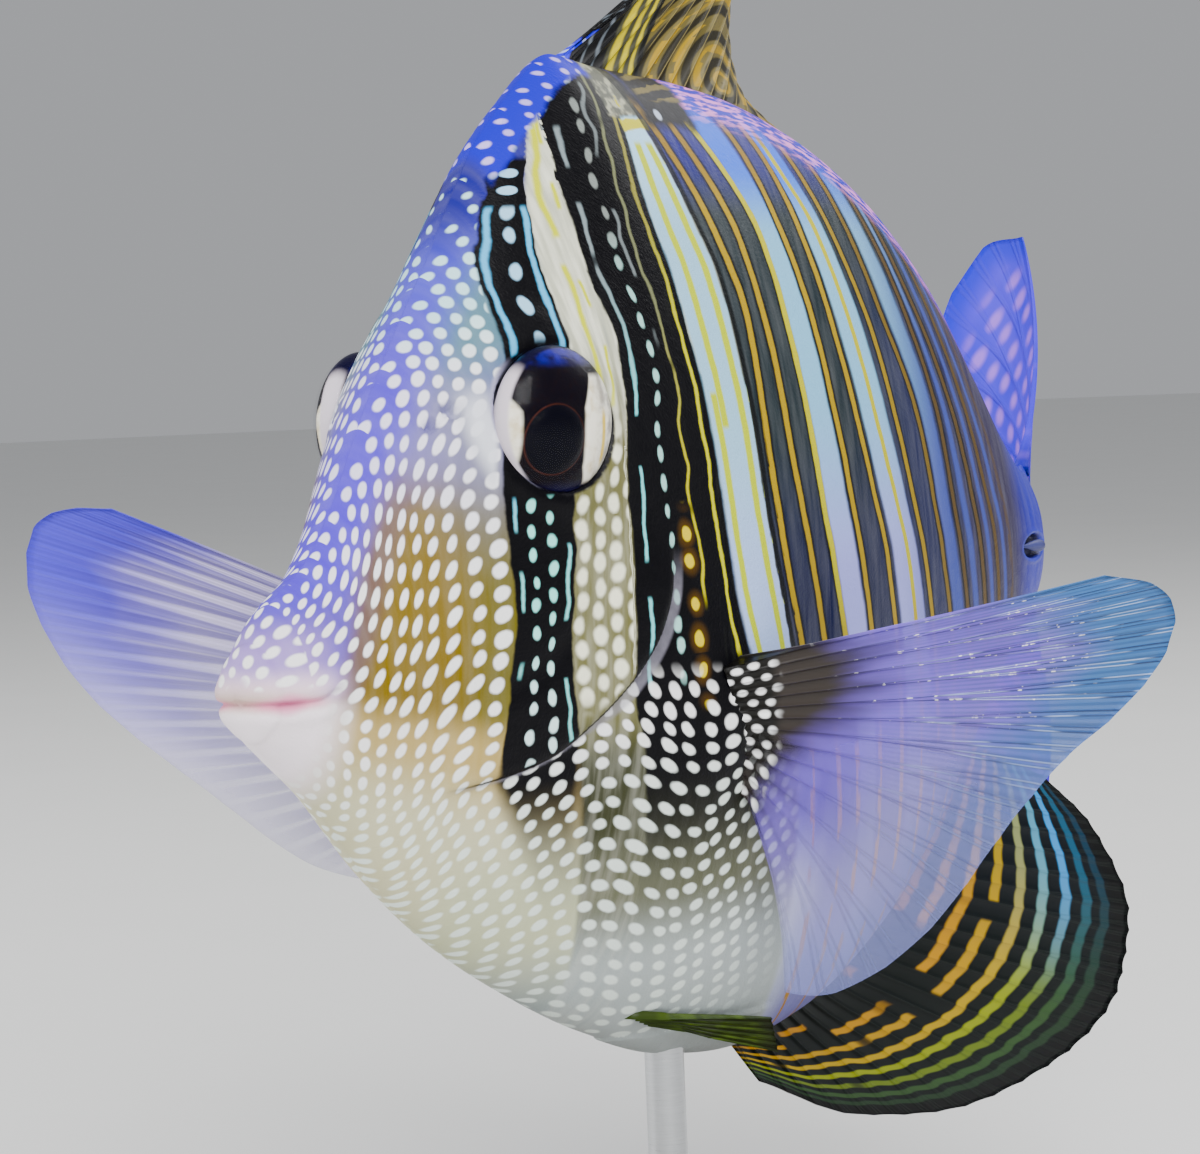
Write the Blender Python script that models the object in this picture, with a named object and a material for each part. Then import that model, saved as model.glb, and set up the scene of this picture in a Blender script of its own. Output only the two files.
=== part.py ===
"""A red sea sailfin tang, Zebrasoma desjardinii, life size, turning to its right on a display stand.

Everything is drawn in millimetres in the fish's own frame: x to its left side, y from the tip of the snout
to the tail, z up from the line through the tail base. An empty carries this frame on the stand, so that the
part has +Z up, the head towards -Y and its origin in the middle of the stand's underside.
"""

import math

import bmesh
import bpy
import numpy as np

MM = 0.001
GAP = 0.3  # clearance between neighbouring solids
OVERRUN = 4.0  # how far a cutter stands out of what it cuts
CUT_REACH = 25.0  # half width of the thin walls that part the body
SHARP_EDGE = math.radians(50)

# Stand
BASE_SIZE = (58.0, 92.0, 6.0)
BASE_CORNER = 14.0
BASE_BEVEL = 1.2
FISH_LINE = 68.0  # height of the fish's own zero line above the table
BASE_MIDDLE = 60.0  # the fish's y over the middle of the base
ROD_Y = 51.0
ROD_RADIUS = 1.6
ROD_SIDES = 14
ROD_IN_BASE = 3.7
ROD_IN_BELLY = 5.0
CORNER_STEPS = 6

# Body, as curves along the fish: (y, value)
BODY_LENGTH = 120.0
BACK = [(0, -1.8), (1.4, 0.0), (3.8, 2.6), (8, 5.2), (11, 8.6), (15.5, 15.6), (21.5, 23.6), (28, 31.0),
        (35, 37.2), (41, 40.8), (51, 41.0), (62, 39.8), (74, 36.6), (85, 31.6), (94.5, 24.8), (102, 16.8),
        (107.5, 11.0), (113, 7.2), (117, 5.9), (120, 6.4)]
BELLY = [(0, -5.4), (1.4, -7.0), (3.8, -9.0), (8, -12.4), (14, -18.8), (21, -24.4), (30, -29.6), (40, -34.2),
         (50, -37.4), (60, -38.6), (70, -37.4), (82, -33.0), (92, -26.2), (100.5, -18.0), (107, -12.2),
         (113, -8.8), (117, -7.6), (120, -8.2)]
HALF_WIDTH = [(0, 1.6), (1.4, 2.8), (3.8, 3.8), (8, 4.9), (14, 6.4), (22, 8.2), (31, 10.2), (41, 11.8),
              (51, 12.2), (64, 11.4), (78, 9.2), (90, 6.9), (102, 4.6), (112, 3.0), (117, 2.3), (120, 1.6)]
WIDEST = [(0, -3.6), (8, -3.4), (20, 2.0), (30, 3.0), (44, -2.0), (70, -1.0), (120, -0.9)]
FULLNESS = 0.6  # 0.5 is an ellipse in section, more is sharper at the back and belly
EYE_SWELLING = (26.4, 14.4, 6.2, 1.5)  # y, z, spread, height
CHEEK_HOLLOW = (15.0, 4.0, 4.5, -0.5)
SHOULDER_SWELLING = (44.0, -9.0, 6.0, 0.5)
BODY_STEPS = 44
BODY_CROWDING = 0.42  # 0 spaces the stations evenly, more crowds them at the snout
BODY_SIDES = 36

# The tail turns to the fish's right from here on
TURN_START = 96.0
TURN_END = math.radians(22)
TURN_GROWTH = 1.6
TURN_STEPS = 24

# Mouth, nostrils and eyes
MOUTH_Z = -4.0
LIP_RADIUS = 0.8
LIP_FRONT = 0.85
LIP_LIFT = 0.95  # its middle over or under the mouth line
LIP_SUNK = 0.35
# Places along each lip: (y, share of its radius)
LIP_STEPS = [(5.2, 0.5), (4.0, 0.7), (2.8, 0.85), (1.7, 0.95), (0.9, 1.0), (0.25, 1.0)]
JAW_CUT = [(-4.0, -3.8), (5.6, -4.4), (7.6, -8.6), (9.6, -20.0)]
JAW_END = 9.0
NOSTRILS = [(19.2, 15.6, 0.7), (17.6, 14.6, 0.45)]  # y, z, radius
NOSTRIL_DEPTH = 0.9
NOSTRIL_SIDES = 8
EYE_CENTRE = (8.9, 26.9, 14.4)
EYE_RADII = (3.0, 5.8, 5.8)
EYE_TURN = math.radians(9)  # both look a little ahead

# Gill covers and the cuts behind the head and before the tail
GILL_MIDDLE = (27.8, -1.2)
GILL_EDGE = [(37.4, 1.6), (35.4, -3.0), (29.4, -7.6), (22.8, -10.6), (16.8, -11.6), (19.0, -5.6),
             (23.2, 1.2), (28.4, 6.2), (33.8, 7.4)]
GILL_THICKNESS = 1.3
GILL_LIFT = 0.45
GILL_AROUND = 30
HEAD_CUT = [(36.5, 50.0), (38.5, 26.0), (40.6, 10.0), (40.4, -2.0), (36.2, -9.0), (31.0, -15.0),
            (28.0, -24.0), (25.5, -40.0)]
TAIL_CUT = [(100.0, 26.0), (102.0, 8.0), (102.0, -8.0), (100.0, -26.0)]
TRUNK_SPAN = (44.0, 100.0)  # the trunk's middle lies between these

# Scalpel spines
SPINE_CENTRE = (110.5, -0.9)
SPINE_RADII = (0.85, 3.1, 0.8)
SPINE_TURN = math.radians(9)

# Fins
MEMBRANE = 0.27  # half thickness
RAY_RIDGE = 0.26
SPINE_RIDGE = 0.42
TIP_SHARE = 0.62  # thickness left at the margin
RIDGE_LOSS = 0.55  # share of a ray's height that is gone at the margin
ROOT_SHARE = 0.22  # share of the ray over which a thicker root fades
ROOT_SWELL = 0.25  # extra half thickness at the root of the dorsal and anal fins
DORSAL_BASE = (40.8, 98.0)
DORSAL_SPINES, DORSAL_RAYS = 4, 27
DORSAL_CURL = 0.9
DORSAL_LENGTH = [(0.0, 8.0), (0.09, 24.0), (0.2, 35.0), (0.4, 39.0), (0.7, 34.0), (1.0, 20.0)]
DORSAL_RISE = [(0.0, 29.0), (0.15, 34.0), (0.3, 34.0), (0.4, 24.0), (0.52, 14.0), (0.7, 10.0), (1.0, 9.0)]
DORSAL_TURN = [(0.0, 2.0), (0.12, 9.0), (0.3, 24.0), (0.4, 44.0), (0.52, 60.0), (0.75, 63.0), (1.0, 48.0)]
ANAL_BASE = (60.0, 100.0)
ANAL_SPINES, ANAL_RAYS = 3, 23
ANAL_MARGIN = [(65.0, -42.6, 0.0), (80.0, -48.2, 0.5), (97.0, -50.4, 1.5), (112.0, -48.4, 3.0),
               (121.5, -43.4, 4.0), (124.0, -36.6, 4.0), (119.5, -28.2, 3.0), (112.0, -22.4, 2.0)]
CAUDAL_RAYS = 16
CAUDAL_INSET = 0.4  # its outer roots inside the edges of the tail base
CAUDAL_LENGTH = (29.5, 24.5)  # leading and middle rays
CAUDAL_SPREAD = 47.0
CAUDAL_TURN = (29.0, 71.0)  # leading and middle rays, from straight back towards the fish's right
CAUDAL_CUP = 2.2  # higher keeps the deep turn to more of the middle rays
CAUDAL_CURL = 0.5
PECTORAL_RAYS = 15
PECTORAL_BASE = [(43.6, -5.2), (47.2, -14.8)]
PECTORAL_LENGTH = [(0.0, 34.2), (0.1, 37.2), (0.2, 37.4), (0.35, 34.6), (0.5, 30.0), (0.65, 25.0),
                   (0.8, 20.4), (1.0, 15.6)]
PECTORAL_LEFT = dict(back=50.0, twist=26.0, rise=(9.5, -86.0), cup=1.4)
PECTORAL_RIGHT = dict(back=-34.0, twist=0.0, rise=(22.0, -60.0), cup=-1.2)
PECTORAL_ROOT = 0.9  # extra half thickness at the fleshy base
PELVIC_RAYS = 6
PELVIC_BASE = [(41.6, -32.8), (44.6, -34.0)]
PELVIC_TIP = [(57.0, -35.4, 6.6), (60.0, -38.8, 5.2)]  # upper and lower end of the folded fin's margin
PELVIC_CLEAR = 0.9  # its middle surface over the gap to the skin
RAY_STEPS = {"dorsal": 7, "anal": 6, "caudal": 6, "pectoral": 7, "pelvic": 5}


def along(points, y):
    """Value at y of a smooth curve through (y, value) points, with no overshoot between them."""
    ys = np.array([p[0] for p in points], float)
    vs = np.array([p[1] for p in points], float)
    slopes = np.diff(vs) / np.diff(ys)
    bends = np.zeros_like(vs)
    for i in range(1, len(vs) - 1):
        if slopes[i - 1] * slopes[i] > 0:
            bends[i] = 2 * slopes[i - 1] * slopes[i] / (slopes[i - 1] + slopes[i])
    bends[0], bends[-1] = slopes[0], slopes[-1]
    y = min(max(y, ys[0]), ys[-1])
    i = min(int(np.searchsorted(ys, y, side="right")) - 1, len(ys) - 2)
    step = ys[i + 1] - ys[i]
    t = (y - ys[i]) / step
    start = (1 + 2 * t) * (1 - t) ** 2 * vs[i] + t * (1 - t) ** 2 * step * bends[i]
    return start + t * t * (3 - 2 * t) * vs[i + 1] + t * t * (t - 1) * step * bends[i + 1]


def swelling(y, z, spot):
    """Height of a soft round rise, or a hollow below 0, at this place on the side."""
    centre_y, centre_z, spread, height = spot
    return height * math.exp(-((y - centre_y) ** 2 + (z - centre_z) ** 2) / (2 * spread**2))


def side_width(y, z):
    """Distance of the body's side from its middle plane at this place."""
    middle = along(WIDEST, y)
    edge = along(BACK, y) if z > middle else along(BELLY, y)
    share = min(abs((z - middle) / (edge - middle)), 1.0)
    lens = (1 - share**2) ** FULLNESS
    fade = min(1.0, 3 * (1 - share))
    lumps = sum(swelling(y, z, spot) for spot in (EYE_SWELLING, CHEEK_HOLLOW, SHOULDER_SWELLING))
    return along(HALF_WIDTH, y) * lens + fade * lumps


def turn_at(y):
    share = max(0.0, (y - TURN_START) / (BODY_LENGTH - TURN_START))
    return TURN_END * share**TURN_GROWTH


def bend(x, y, z):
    """Carries a point of the straight fish round the turn of its tail."""
    if y <= TURN_START:
        return np.array([x, y, z])
    ys = np.linspace(TURN_START, y, TURN_STEPS + 1)
    turns = [turn_at((a + b) / 2) for a, b in zip(ys, ys[1:])]
    step = (y - TURN_START) / TURN_STEPS
    across = -step * sum(math.sin(t) for t in turns)
    back = TURN_START + step * sum(math.cos(t) for t in turns)
    turn = turn_at(y)
    return np.array([across + x * math.cos(turn), back + x * math.sin(turn), z])


def material(name, colour, roughness, metallic=0.0):
    made = bpy.data.materials.new(name)
    made.use_nodes = True
    shader = made.node_tree.nodes["Principled BSDF"]
    shader.inputs["Base Color"].default_value = (*colour, 1.0)
    shader.inputs["Roughness"].default_value = roughness
    shader.inputs["Metallic"].default_value = metallic
    return made


def solid(name, points, faces, look=None, origin=(0.0, 0.0, 0.0), turn=0.0):
    """A mesh object, its faces turned outwards, from points about its own origin in the fish's frame."""
    mesh = bpy.data.meshes.new(name)
    mesh.from_pydata([tuple(np.array(p) * MM) for p in points], [], faces)
    work = bmesh.new()
    work.from_mesh(mesh)
    bmesh.ops.triangulate(work, faces=work.faces)
    bmesh.ops.recalc_face_normals(work, faces=work.faces)
    work.to_mesh(mesh)
    work.free()
    mesh.shade_smooth()
    mesh.set_sharp_from_angle(angle=SHARP_EDGE)
    made = bpy.data.objects.new(name, mesh)
    made.location = np.array(origin) * MM
    made.rotation_euler = (0.0, 0.0, turn)
    bpy.context.scene.collection.objects.link(made)
    if look:
        mesh.materials.append(look)
    return made


def skin_rings(rings):
    """Points and faces of a closed tube through rings of equal length, with a fan on each end."""
    count = len(rings[0])
    points = [p for ring in rings for p in ring]
    faces = []
    for r in range(len(rings) - 1):
        for k in range(count):
            a, b = r * count + k, r * count + (k + 1) % count
            faces.append((a, b, b + count, a + count))
    for start, ring in ((0, rings[0]), ((len(rings) - 1) * count, rings[-1])):
        points.append(np.mean(ring, axis=0))
        faces += [(start + k, start + (k + 1) % count, len(points) - 1) for k in range(count)]
    return points, faces


def apply_boolean(target, operation, others):
    """Applies one Boolean of target with all the other objects, then removes these."""
    group = bpy.data.collections.new("cutters")
    bpy.context.scene.collection.children.link(group)
    for other in others:
        group.objects.link(other)
    modifier = target.modifiers.new("Boolean", "BOOLEAN")
    modifier.operation = operation
    modifier.operand_type = "COLLECTION"
    modifier.collection = group
    modifier.solver = "EXACT"
    bpy.context.view_layer.update()
    graph = bpy.context.evaluated_depsgraph_get()
    mesh = bpy.data.meshes.new_from_object(target.evaluated_get(graph))
    target.modifiers.remove(modifier)
    target.data = mesh
    for other in others:
        bpy.data.objects.remove(other)
    bpy.data.collections.remove(group)


def loose_bodies(target):
    """The separate closed surfaces of an object, each as (points, faces), largest first."""
    work = bmesh.new()
    work.from_mesh(target.data)
    bmesh.ops.triangulate(work, faces=work.faces)
    work.verts.ensure_lookup_table()
    seen, bodies = set(), []
    for first in work.verts:
        if first.index in seen:
            continue
        seen.add(first.index)
        stack, members = [first], []
        while stack:
            vert = stack.pop()
            members.append(vert)
            for edge in vert.link_edges:
                other = edge.other_vert(vert)
                if other.index not in seen:
                    seen.add(other.index)
                    stack.append(other)
        faces = {face for vert in members for face in vert.link_faces}
        points = [tuple(vert.co) for vert in members]
        number = {vert.index: i for i, vert in enumerate(members)}
        ordered = sorted(faces, key=lambda face: face.index)
        bodies.append((points, [[number[v.index] for v in face.verts] for face in ordered]))
    work.free()
    return sorted(bodies, key=lambda body: -len(body[1]))


def object_from_body(name, body, look, location=(0.0, 0.0, 0.0)):
    """An object of one loose body, whose points are already in metres."""
    points, faces = body
    mesh = bpy.data.meshes.new(name)
    mesh.from_pydata(points, [], faces)
    mesh.shade_smooth()
    mesh.set_sharp_from_angle(angle=SHARP_EDGE)
    mesh.materials.append(look)
    made = bpy.data.objects.new(name, mesh)
    made.location = location
    bpy.context.scene.collection.objects.link(made)
    return made


def keep_largest(target):
    """Leaves the object only its largest closed surface."""
    name, look, location = target.name, target.data.materials[0], target.location.copy()
    body = loose_bodies(target)[0]
    bpy.data.objects.remove(target)
    return object_from_body(name, body, look, location)


def body_stations():
    """Places along the body, close together at the snout."""
    shares = np.linspace(0, 1, BODY_STEPS)
    return BODY_LENGTH * (BODY_CROWDING * shares**2 + (1 - BODY_CROWDING) * shares)


def body_ring(y):
    middle, top, bottom = along(WIDEST, y), along(BACK, y), along(BELLY, y)
    ring = []
    for k in range(BODY_SIDES):
        angle = 2 * math.pi * k / BODY_SIDES
        lift = math.sin(angle)
        z = middle + (top - middle if lift > 0 else middle - bottom) * lift
        x = side_width(y, z) * np.sign(round(math.cos(angle), 9))
        ring.append(bend(x, y, z))
    return ring


def whole_body():
    return solid("body", *skin_rings([body_ring(y) for y in body_stations()]))


def tube(name, path, radii, sides=8):
    """A closed tube with rounded ends along a path."""
    path = [np.array(p, float) for p in path]
    rings = []
    for i, point in enumerate(path):
        ahead = path[min(i + 1, len(path) - 1)] - path[max(i - 1, 0)]
        ahead /= np.linalg.norm(ahead)
        across = np.cross(ahead, (0, 0, 1.0))
        across /= np.linalg.norm(across)
        up = np.cross(across, ahead)
        turns = [2 * math.pi * k / sides for k in range(sides)]
        rings.append([point + radii[i] * (math.cos(a) * across + math.sin(a) * up) for a in turns])
    return solid(name, *skin_rings(rings))


def lip(name, lift):
    """A rounded lip along the mouth line, thin at its corners."""
    z = MOUTH_Z + lift
    left = [(side_width(y, z) - LIP_SUNK, y, z) for y, _ in LIP_STEPS]
    right = [(-x, y, z) for x, y, z in reversed(left)]
    thin = [LIP_RADIUS * share for _, share in LIP_STEPS]
    return tube(name, left + [(0.0, LIP_FRONT, z)] + right, thin + [LIP_RADIUS] + thin[::-1])


def slab(name, path):
    """A thin wall across the fish that follows a path of (y, z) points, for parting it."""
    path = [np.array(p, float) for p in path]
    sides = []
    for shift in (-GAP / 2, GAP / 2):
        row = []
        for i, point in enumerate(path):
            ahead = path[min(i + 1, len(path) - 1)] - path[max(i - 1, 0)]
            ahead /= np.linalg.norm(ahead)
            row.append(point + shift * np.array([-ahead[1], ahead[0]]))
        sides.append(row)
    outline = sides[0] + sides[1][::-1]
    count = len(outline)
    points = [(side * CUT_REACH, y, z) for side in (-1, 1) for y, z in outline]
    faces = [(k, (k + 1) % count, (k + 1) % count + count, k + count) for k in range(count)]
    half = count // 2
    for end in (0, count):
        faces += [(end + k, end + k + 1, end + count - 2 - k, end + count - 1 - k) for k in range(half - 1)]
    return solid(name, points, faces)


def ellipsoid(name, centre, radii, look=None, grow=0.0, turn=0.0, around=20, rings=11):
    """An ellipsoid with its poles on its own x axis, turned about z."""
    rows = []
    for r in range(1, rings):
        polar = math.pi * r / rings
        row = []
        for k in range(around):
            angle = 2 * math.pi * k / around
            x = (radii[0] + grow) * math.cos(polar)
            y = (radii[1] + grow) * math.sin(polar) * math.cos(angle)
            z = (radii[2] + grow) * math.sin(polar) * math.sin(angle)
            row.append((x, y, z))
        rows.append(row)
    points, faces = skin_rings(rows)
    points[-2], points[-1] = (radii[0] + grow, 0, 0), (-radii[0] - grow, 0, 0)
    return solid(name, points, faces, look, centre, turn)


def gill_edge_point(share, grow=0.0):
    """A point of the gill cover's outline, (y, z), on a smooth closed curve through GILL_EDGE."""
    count = len(GILL_EDGE)
    at = share * count
    i, t = int(at) % count, at - int(at)
    a, b, c, d = (np.array(GILL_EDGE[(i + k) % count], float) for k in (-1, 0, 1, 2))
    point = 0.5 * (2 * b + (c - a) * t + (2 * a - 5 * b + 4 * c - d) * t**2 + (3 * b - a - 3 * c + d) * t**3)
    out = point - GILL_MIDDLE
    return point + grow * out / np.linalg.norm(out)


def gill_plate(name, side, outer, inner, grow=0.0, look=None):
    """A plate that follows the cheek from its inner depth to its outer height over the skin."""
    rows = []
    shares = np.arange(GILL_AROUND) / GILL_AROUND
    edge = [gill_edge_point(share, grow) for share in shares]
    for height, reach in ((outer, 0.5), (outer, 0.85), (outer, 1.0), (inner, 1.0), (inner, 0.5)):
        row = []
        for y, z in (np.array(GILL_MIDDLE) + reach * (point - GILL_MIDDLE) for point in edge):
            row.append((side * (side_width(y, z) + height(y)), y, z))
        rows.append(row)
    points, faces = skin_rings(rows)
    for k, height in ((-2, outer), (-1, inner)):
        y, z = GILL_MIDDLE
        points[k] = (side * (side_width(y, z) + height(y)), y, z)
    return solid(name, points, faces, look)


def gill_cover(side, name, look):
    """A plate let into the cheek that stands more and more proud of it towards its rear edge."""
    front, rear = min(y for y, z in GILL_EDGE), max(y for y, z in GILL_EDGE)

    def outer(y):
        return GILL_LIFT * (0.1 + 0.9 * (y - front) / (rear - front))

    return gill_plate(name, side, outer, lambda y: -GILL_THICKNESS, look=look)


def gill_pocket(side):
    return gill_plate("pocket", side, lambda y: OVERRUN, lambda y: -GILL_THICKNESS - GAP, grow=GAP)


def nostril_pit(side, y, z, radius):
    turns = [2 * math.pi * k / NOSTRIL_SIDES for k in range(NOSTRIL_SIDES)]
    rows = [[(x, radius * math.cos(a), radius * math.sin(a)) for a in turns] for x in (0, side * OVERRUN)]
    floor = (side * (side_width(y, z) - NOSTRIL_DEPTH), y, z)
    return solid("pit", *skin_rings(rows), origin=floor)


def upright(name, radius, bottom, top, look=None):
    """An upright round rod on the stand's rod axis, between two heights of the fish's frame."""
    turns = [2 * math.pi * k / ROD_SIDES for k in range(ROD_SIDES)]
    rows = [[(radius * math.cos(a), radius * math.sin(a), z) for a in turns] for z in (0, top - bottom)]
    return solid(name, *skin_rings(rows), look, (0.0, ROD_Y, bottom))


def spine_seat(side):
    y, z = SPINE_CENTRE
    return bend(side * side_width(y, z), y, z)


def scalpel_spine(side, name, look=None, grow=0.0):
    """The white folded blade on the tail base, half sunk in its groove."""
    turn = turn_at(SPINE_CENTRE[0]) + side * SPINE_TURN
    return ellipsoid(name, spine_seat(side), SPINE_RADII, look, grow, turn, around=12, rings=7)


def eye(side, name, look=None, grow=0.0):
    x, y, z = EYE_CENTRE
    return ellipsoid(name, (side * x, y, z), EYE_RADII, look, grow, -side * EYE_TURN)


def part_the_body(looks):
    """Cuts the whole body into head, jaw, trunk and tail base, with room for what is set into them."""
    body = whole_body()
    apply_boolean(body, "UNION", [lip("upper lip", LIP_LIFT), lip("lower lip", -LIP_LIFT)])
    cutters = [slab("jaw cut", JAW_CUT), slab("head cut", HEAD_CUT), slab("tail cut", TAIL_CUT)]
    for side in (1, -1):
        cutters += [eye(side, "socket", grow=GAP), gill_pocket(side), scalpel_spine(side, "groove", grow=GAP)]
        cutters += [nostril_pit(side, *nostril) for nostril in NOSTRILS]
    belly = along(BELLY, ROD_Y)
    cutters.append(upright("rod hole", ROD_RADIUS + GAP, belly - OVERRUN, belly + ROD_IN_BELLY + GAP))
    apply_boolean(body, "DIFFERENCE", cutters)
    pieces = loose_bodies(body)
    bpy.data.objects.remove(body)
    made = set()
    for piece in pieces:
        _, y, z = np.mean(piece[0], axis=0) / MM
        place = "head" if y < TRUNK_SPAN[0] else "trunk" if y < TRUNK_SPAN[1] else "tail_base"
        if y < JAW_END and z < MOUTH_Z:
            place = "lower_jaw"
        if place not in made:
            object_from_body(place, piece, looks[place])
            made.add(place)


def fin(name, rays, look, spines=0, root_extra=0.0, seat=None):
    """A fin of one closed surface: a thin membrane through its rays, each raised as a ridge on both faces.

    rays is a list of ray centre lines of equal length, root first. seat(x, y, z, face) puts a point of the
    root row on what the fin grows from.
    """
    lines = []
    for i, ray in enumerate(rays):
        lines.append((np.array(ray), SPINE_RIDGE if i < spines else RAY_RIDGE))
        if i + 1 < len(rays):
            lines.append(((np.array(ray) + np.array(rays[i + 1])) / 2, 0.0))
    grid = np.array([line for line, _ in lines])
    across = np.gradient(grid, axis=0)
    ahead = np.gradient(grid, axis=1)
    normal = np.cross(across, ahead)
    normal /= np.linalg.norm(normal, axis=2, keepdims=True)
    columns, rows = grid.shape[:2]
    share = np.linspace(0, 1, rows)
    ridge = np.array([height for _, height in lines])[:, None] * (1 - RIDGE_LOSS * share)
    taper = 1 - (1 - TIP_SHARE) * share**3
    half = (MEMBRANE + ridge) * taper + root_extra * np.maximum(0, 1 - share / ROOT_SHARE) ** 2
    points, faces = [], []
    for face in (1, -1):
        layer = grid + face * half[:, :, None] * normal
        if seat:
            layer[:, 0] = [seat(*point, face) for point in layer[:, 0]]
        points += list(layer.reshape(-1, 3))
    size = columns * rows
    for c in range(columns - 1):
        for r in range(rows - 1):
            a, b = c * rows + r, (c + 1) * rows + r
            split = ((a, b, b + 1), (a, b + 1, a + 1)) if c % 2 else ((a, b, a + 1), (b, b + 1, a + 1))
            faces += split
            faces += [tuple(size + v for v in reversed(triangle)) for triangle in split]
    rim = [c * rows for c in range(columns)]
    rim += [(columns - 1) * rows + r for r in range(1, rows)]
    rim += [c * rows + rows - 1 for c in range(columns - 2, -1, -1)]
    rim += [r for r in range(rows - 2, 0, -1)]
    for a, b in zip(rim, rim[1:] + rim[:1]):
        faces.append((a, b, b + size, a + size))
    root = np.array(rays[0][0])
    return solid(name, np.array(points) - root, faces, look, root)


def curved_ray(root, length, rise, turn, curl, steps):
    """A ray that leaves its root at an angle over the level and turns sideways more towards its tip.

    rise and turn are in degrees: rise over the level, turn from straight back towards the fish's right. curl
    is the share by which the turn grows from root to tip.
    """
    points = [np.array(root, float)]
    for step in range(steps):
        share = (step + 0.5) / steps
        up = math.radians(rise)
        side = math.radians(turn * (1 + curl * (share - 0.5)))
        ahead = np.array([-math.cos(up) * math.sin(side), math.cos(up) * math.cos(side), math.sin(up)])
        points.append(points[-1] + ahead * length / steps)
    return points


def dorsal_fin(look):
    """Raised at the front, blown over to the fish's right and laid back further on."""
    count = DORSAL_SPINES + DORSAL_RAYS
    rays = []
    for i in range(count):
        share = i / (count - 1)
        y = DORSAL_BASE[0] + share * (DORSAL_BASE[1] - DORSAL_BASE[0])
        root = bend(0, y, along(BACK, y) + GAP)
        rise, turn = along(DORSAL_RISE, share), along(DORSAL_TURN, share)
        length = along(DORSAL_LENGTH, share)
        rays.append(curved_ray(root, length, rise, turn, DORSAL_CURL, RAY_STEPS["dorsal"]))

    def seat(x, y, z, face):
        return (x, y, max(z, along(BACK, y) + GAP))

    return fin("dorsal_fin", rays, look, DORSAL_SPINES, ROOT_SWELL, seat)


def anal_fin(look):
    """Spread wide under the tail, its rear lobe a little to the fish's left."""
    count = ANAL_SPINES + ANAL_RAYS
    knots = np.linspace(0, 1, len(ANAL_MARGIN))
    rays = []
    for i in range(count):
        share = i / (count - 1)
        y = ANAL_BASE[0] + share * (ANAL_BASE[1] - ANAL_BASE[0])
        root = bend(0, y, along(BELLY, y) - GAP)
        tip_y, tip_z, tip_x = (along(list(zip(knots, column)), share) for column in zip(*ANAL_MARGIN))
        tip = np.array([tip_x, tip_y, tip_z])
        rays.append([root + (tip - root) * t for t in np.linspace(0, 1, RAY_STEPS["anal"] + 1)])

    def seat(x, y, z, face):
        return (x, y, min(z, along(BELLY, y) - GAP))

    return fin("anal_fin", rays, look, ANAL_SPINES, ROOT_SWELL, seat)


def caudal_fin(look):
    """Fanned from the end of the tail base, its middle rays turned furthest to the fish's right."""
    root_top = along(BACK, BODY_LENGTH) - CAUDAL_INSET
    root_bottom = along(BELLY, BODY_LENGTH) + CAUDAL_INSET
    rays = []
    for i in range(CAUDAL_RAYS):
        share = i / (CAUDAL_RAYS - 1)
        edge = abs(2 * share - 1)
        z = root_top + share * (root_bottom - root_top)
        root = bend(0, BODY_LENGTH + GAP, z)
        length = CAUDAL_LENGTH[1] + (CAUDAL_LENGTH[0] - CAUDAL_LENGTH[1]) * edge**2
        turn = CAUDAL_TURN[1] + (CAUDAL_TURN[0] - CAUDAL_TURN[1]) * edge**CAUDAL_CUP
        rise = CAUDAL_SPREAD * (1 - 2 * share)
        rays.append(curved_ray(root, length, rise, turn, CAUDAL_CURL, RAY_STEPS["caudal"]))
    return fin("caudal_fin", rays, look)


def pectoral_fin(side, name, look, back, twist, rise, cup):
    """A fan on the flank, with its angles in degrees.

    back is its sweep behind straight out, and twist what the last ray adds to it. rise is that of the first
    and last ray over the level, and cup how far the rays bow forward, in millimetres.
    """
    rays = []
    for i in range(PECTORAL_RAYS):
        share = i / (PECTORAL_RAYS - 1)
        y, z = (np.array(PECTORAL_BASE[0]) * (1 - share) + np.array(PECTORAL_BASE[1]) * share)
        root = np.array([side * (side_width(y, z) + GAP), y, z])
        up = math.radians(rise[0] + (rise[1] - rise[0]) * share**2)
        sweep = math.radians(back + twist * share)
        out = np.array([side * math.cos(sweep), math.sin(sweep), 0])
        ahead = math.cos(up) * out + np.array([0, 0, math.sin(up)])
        bulge = np.array([side * math.sin(sweep), -math.cos(sweep), 0]) * cup
        length = along(PECTORAL_LENGTH, share)
        shares = np.linspace(0, 1, RAY_STEPS["pectoral"] + 1)
        rays.append([root + ahead * length * t + bulge * math.sin(math.pi * t) for t in shares])

    def seat(x, y, z, face):
        return (side * (side_width(y, z) + GAP), y, z)

    return fin(name, rays, look, 0, PECTORAL_ROOT, seat)


def pelvic_fin(side, name, look):
    """Folded back along the belly."""
    rays = []
    for i in range(PELVIC_RAYS):
        share = i / (PELVIC_RAYS - 1)
        y, z = (np.array(PELVIC_BASE[0]) * (1 - share) + np.array(PELVIC_BASE[1]) * share)
        root = np.array([side * (side_width(y, z) + GAP), y, z])
        tip_y, tip_z, tip_x = (np.array(PELVIC_TIP[0]) * (1 - share) + np.array(PELVIC_TIP[1]) * share)
        tip = np.array([side * tip_x, tip_y, tip_z])
        ray = [root + (tip - root) * t for t in np.linspace(0, 1, RAY_STEPS["pelvic"] + 1)]
        for point in ray[1:]:
            point[0] = side * max(side * point[0], side_width(*point[1:]) + GAP + PELVIC_CLEAR)
        rays.append(ray)

    def seat(x, y, z, face):
        return (side * (side_width(y, z) + GAP + (PELVIC_CLEAR if face * side > 0 else 0.0)), y, z)

    return fin(name, rays, look, 1, 0.0, seat)


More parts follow.
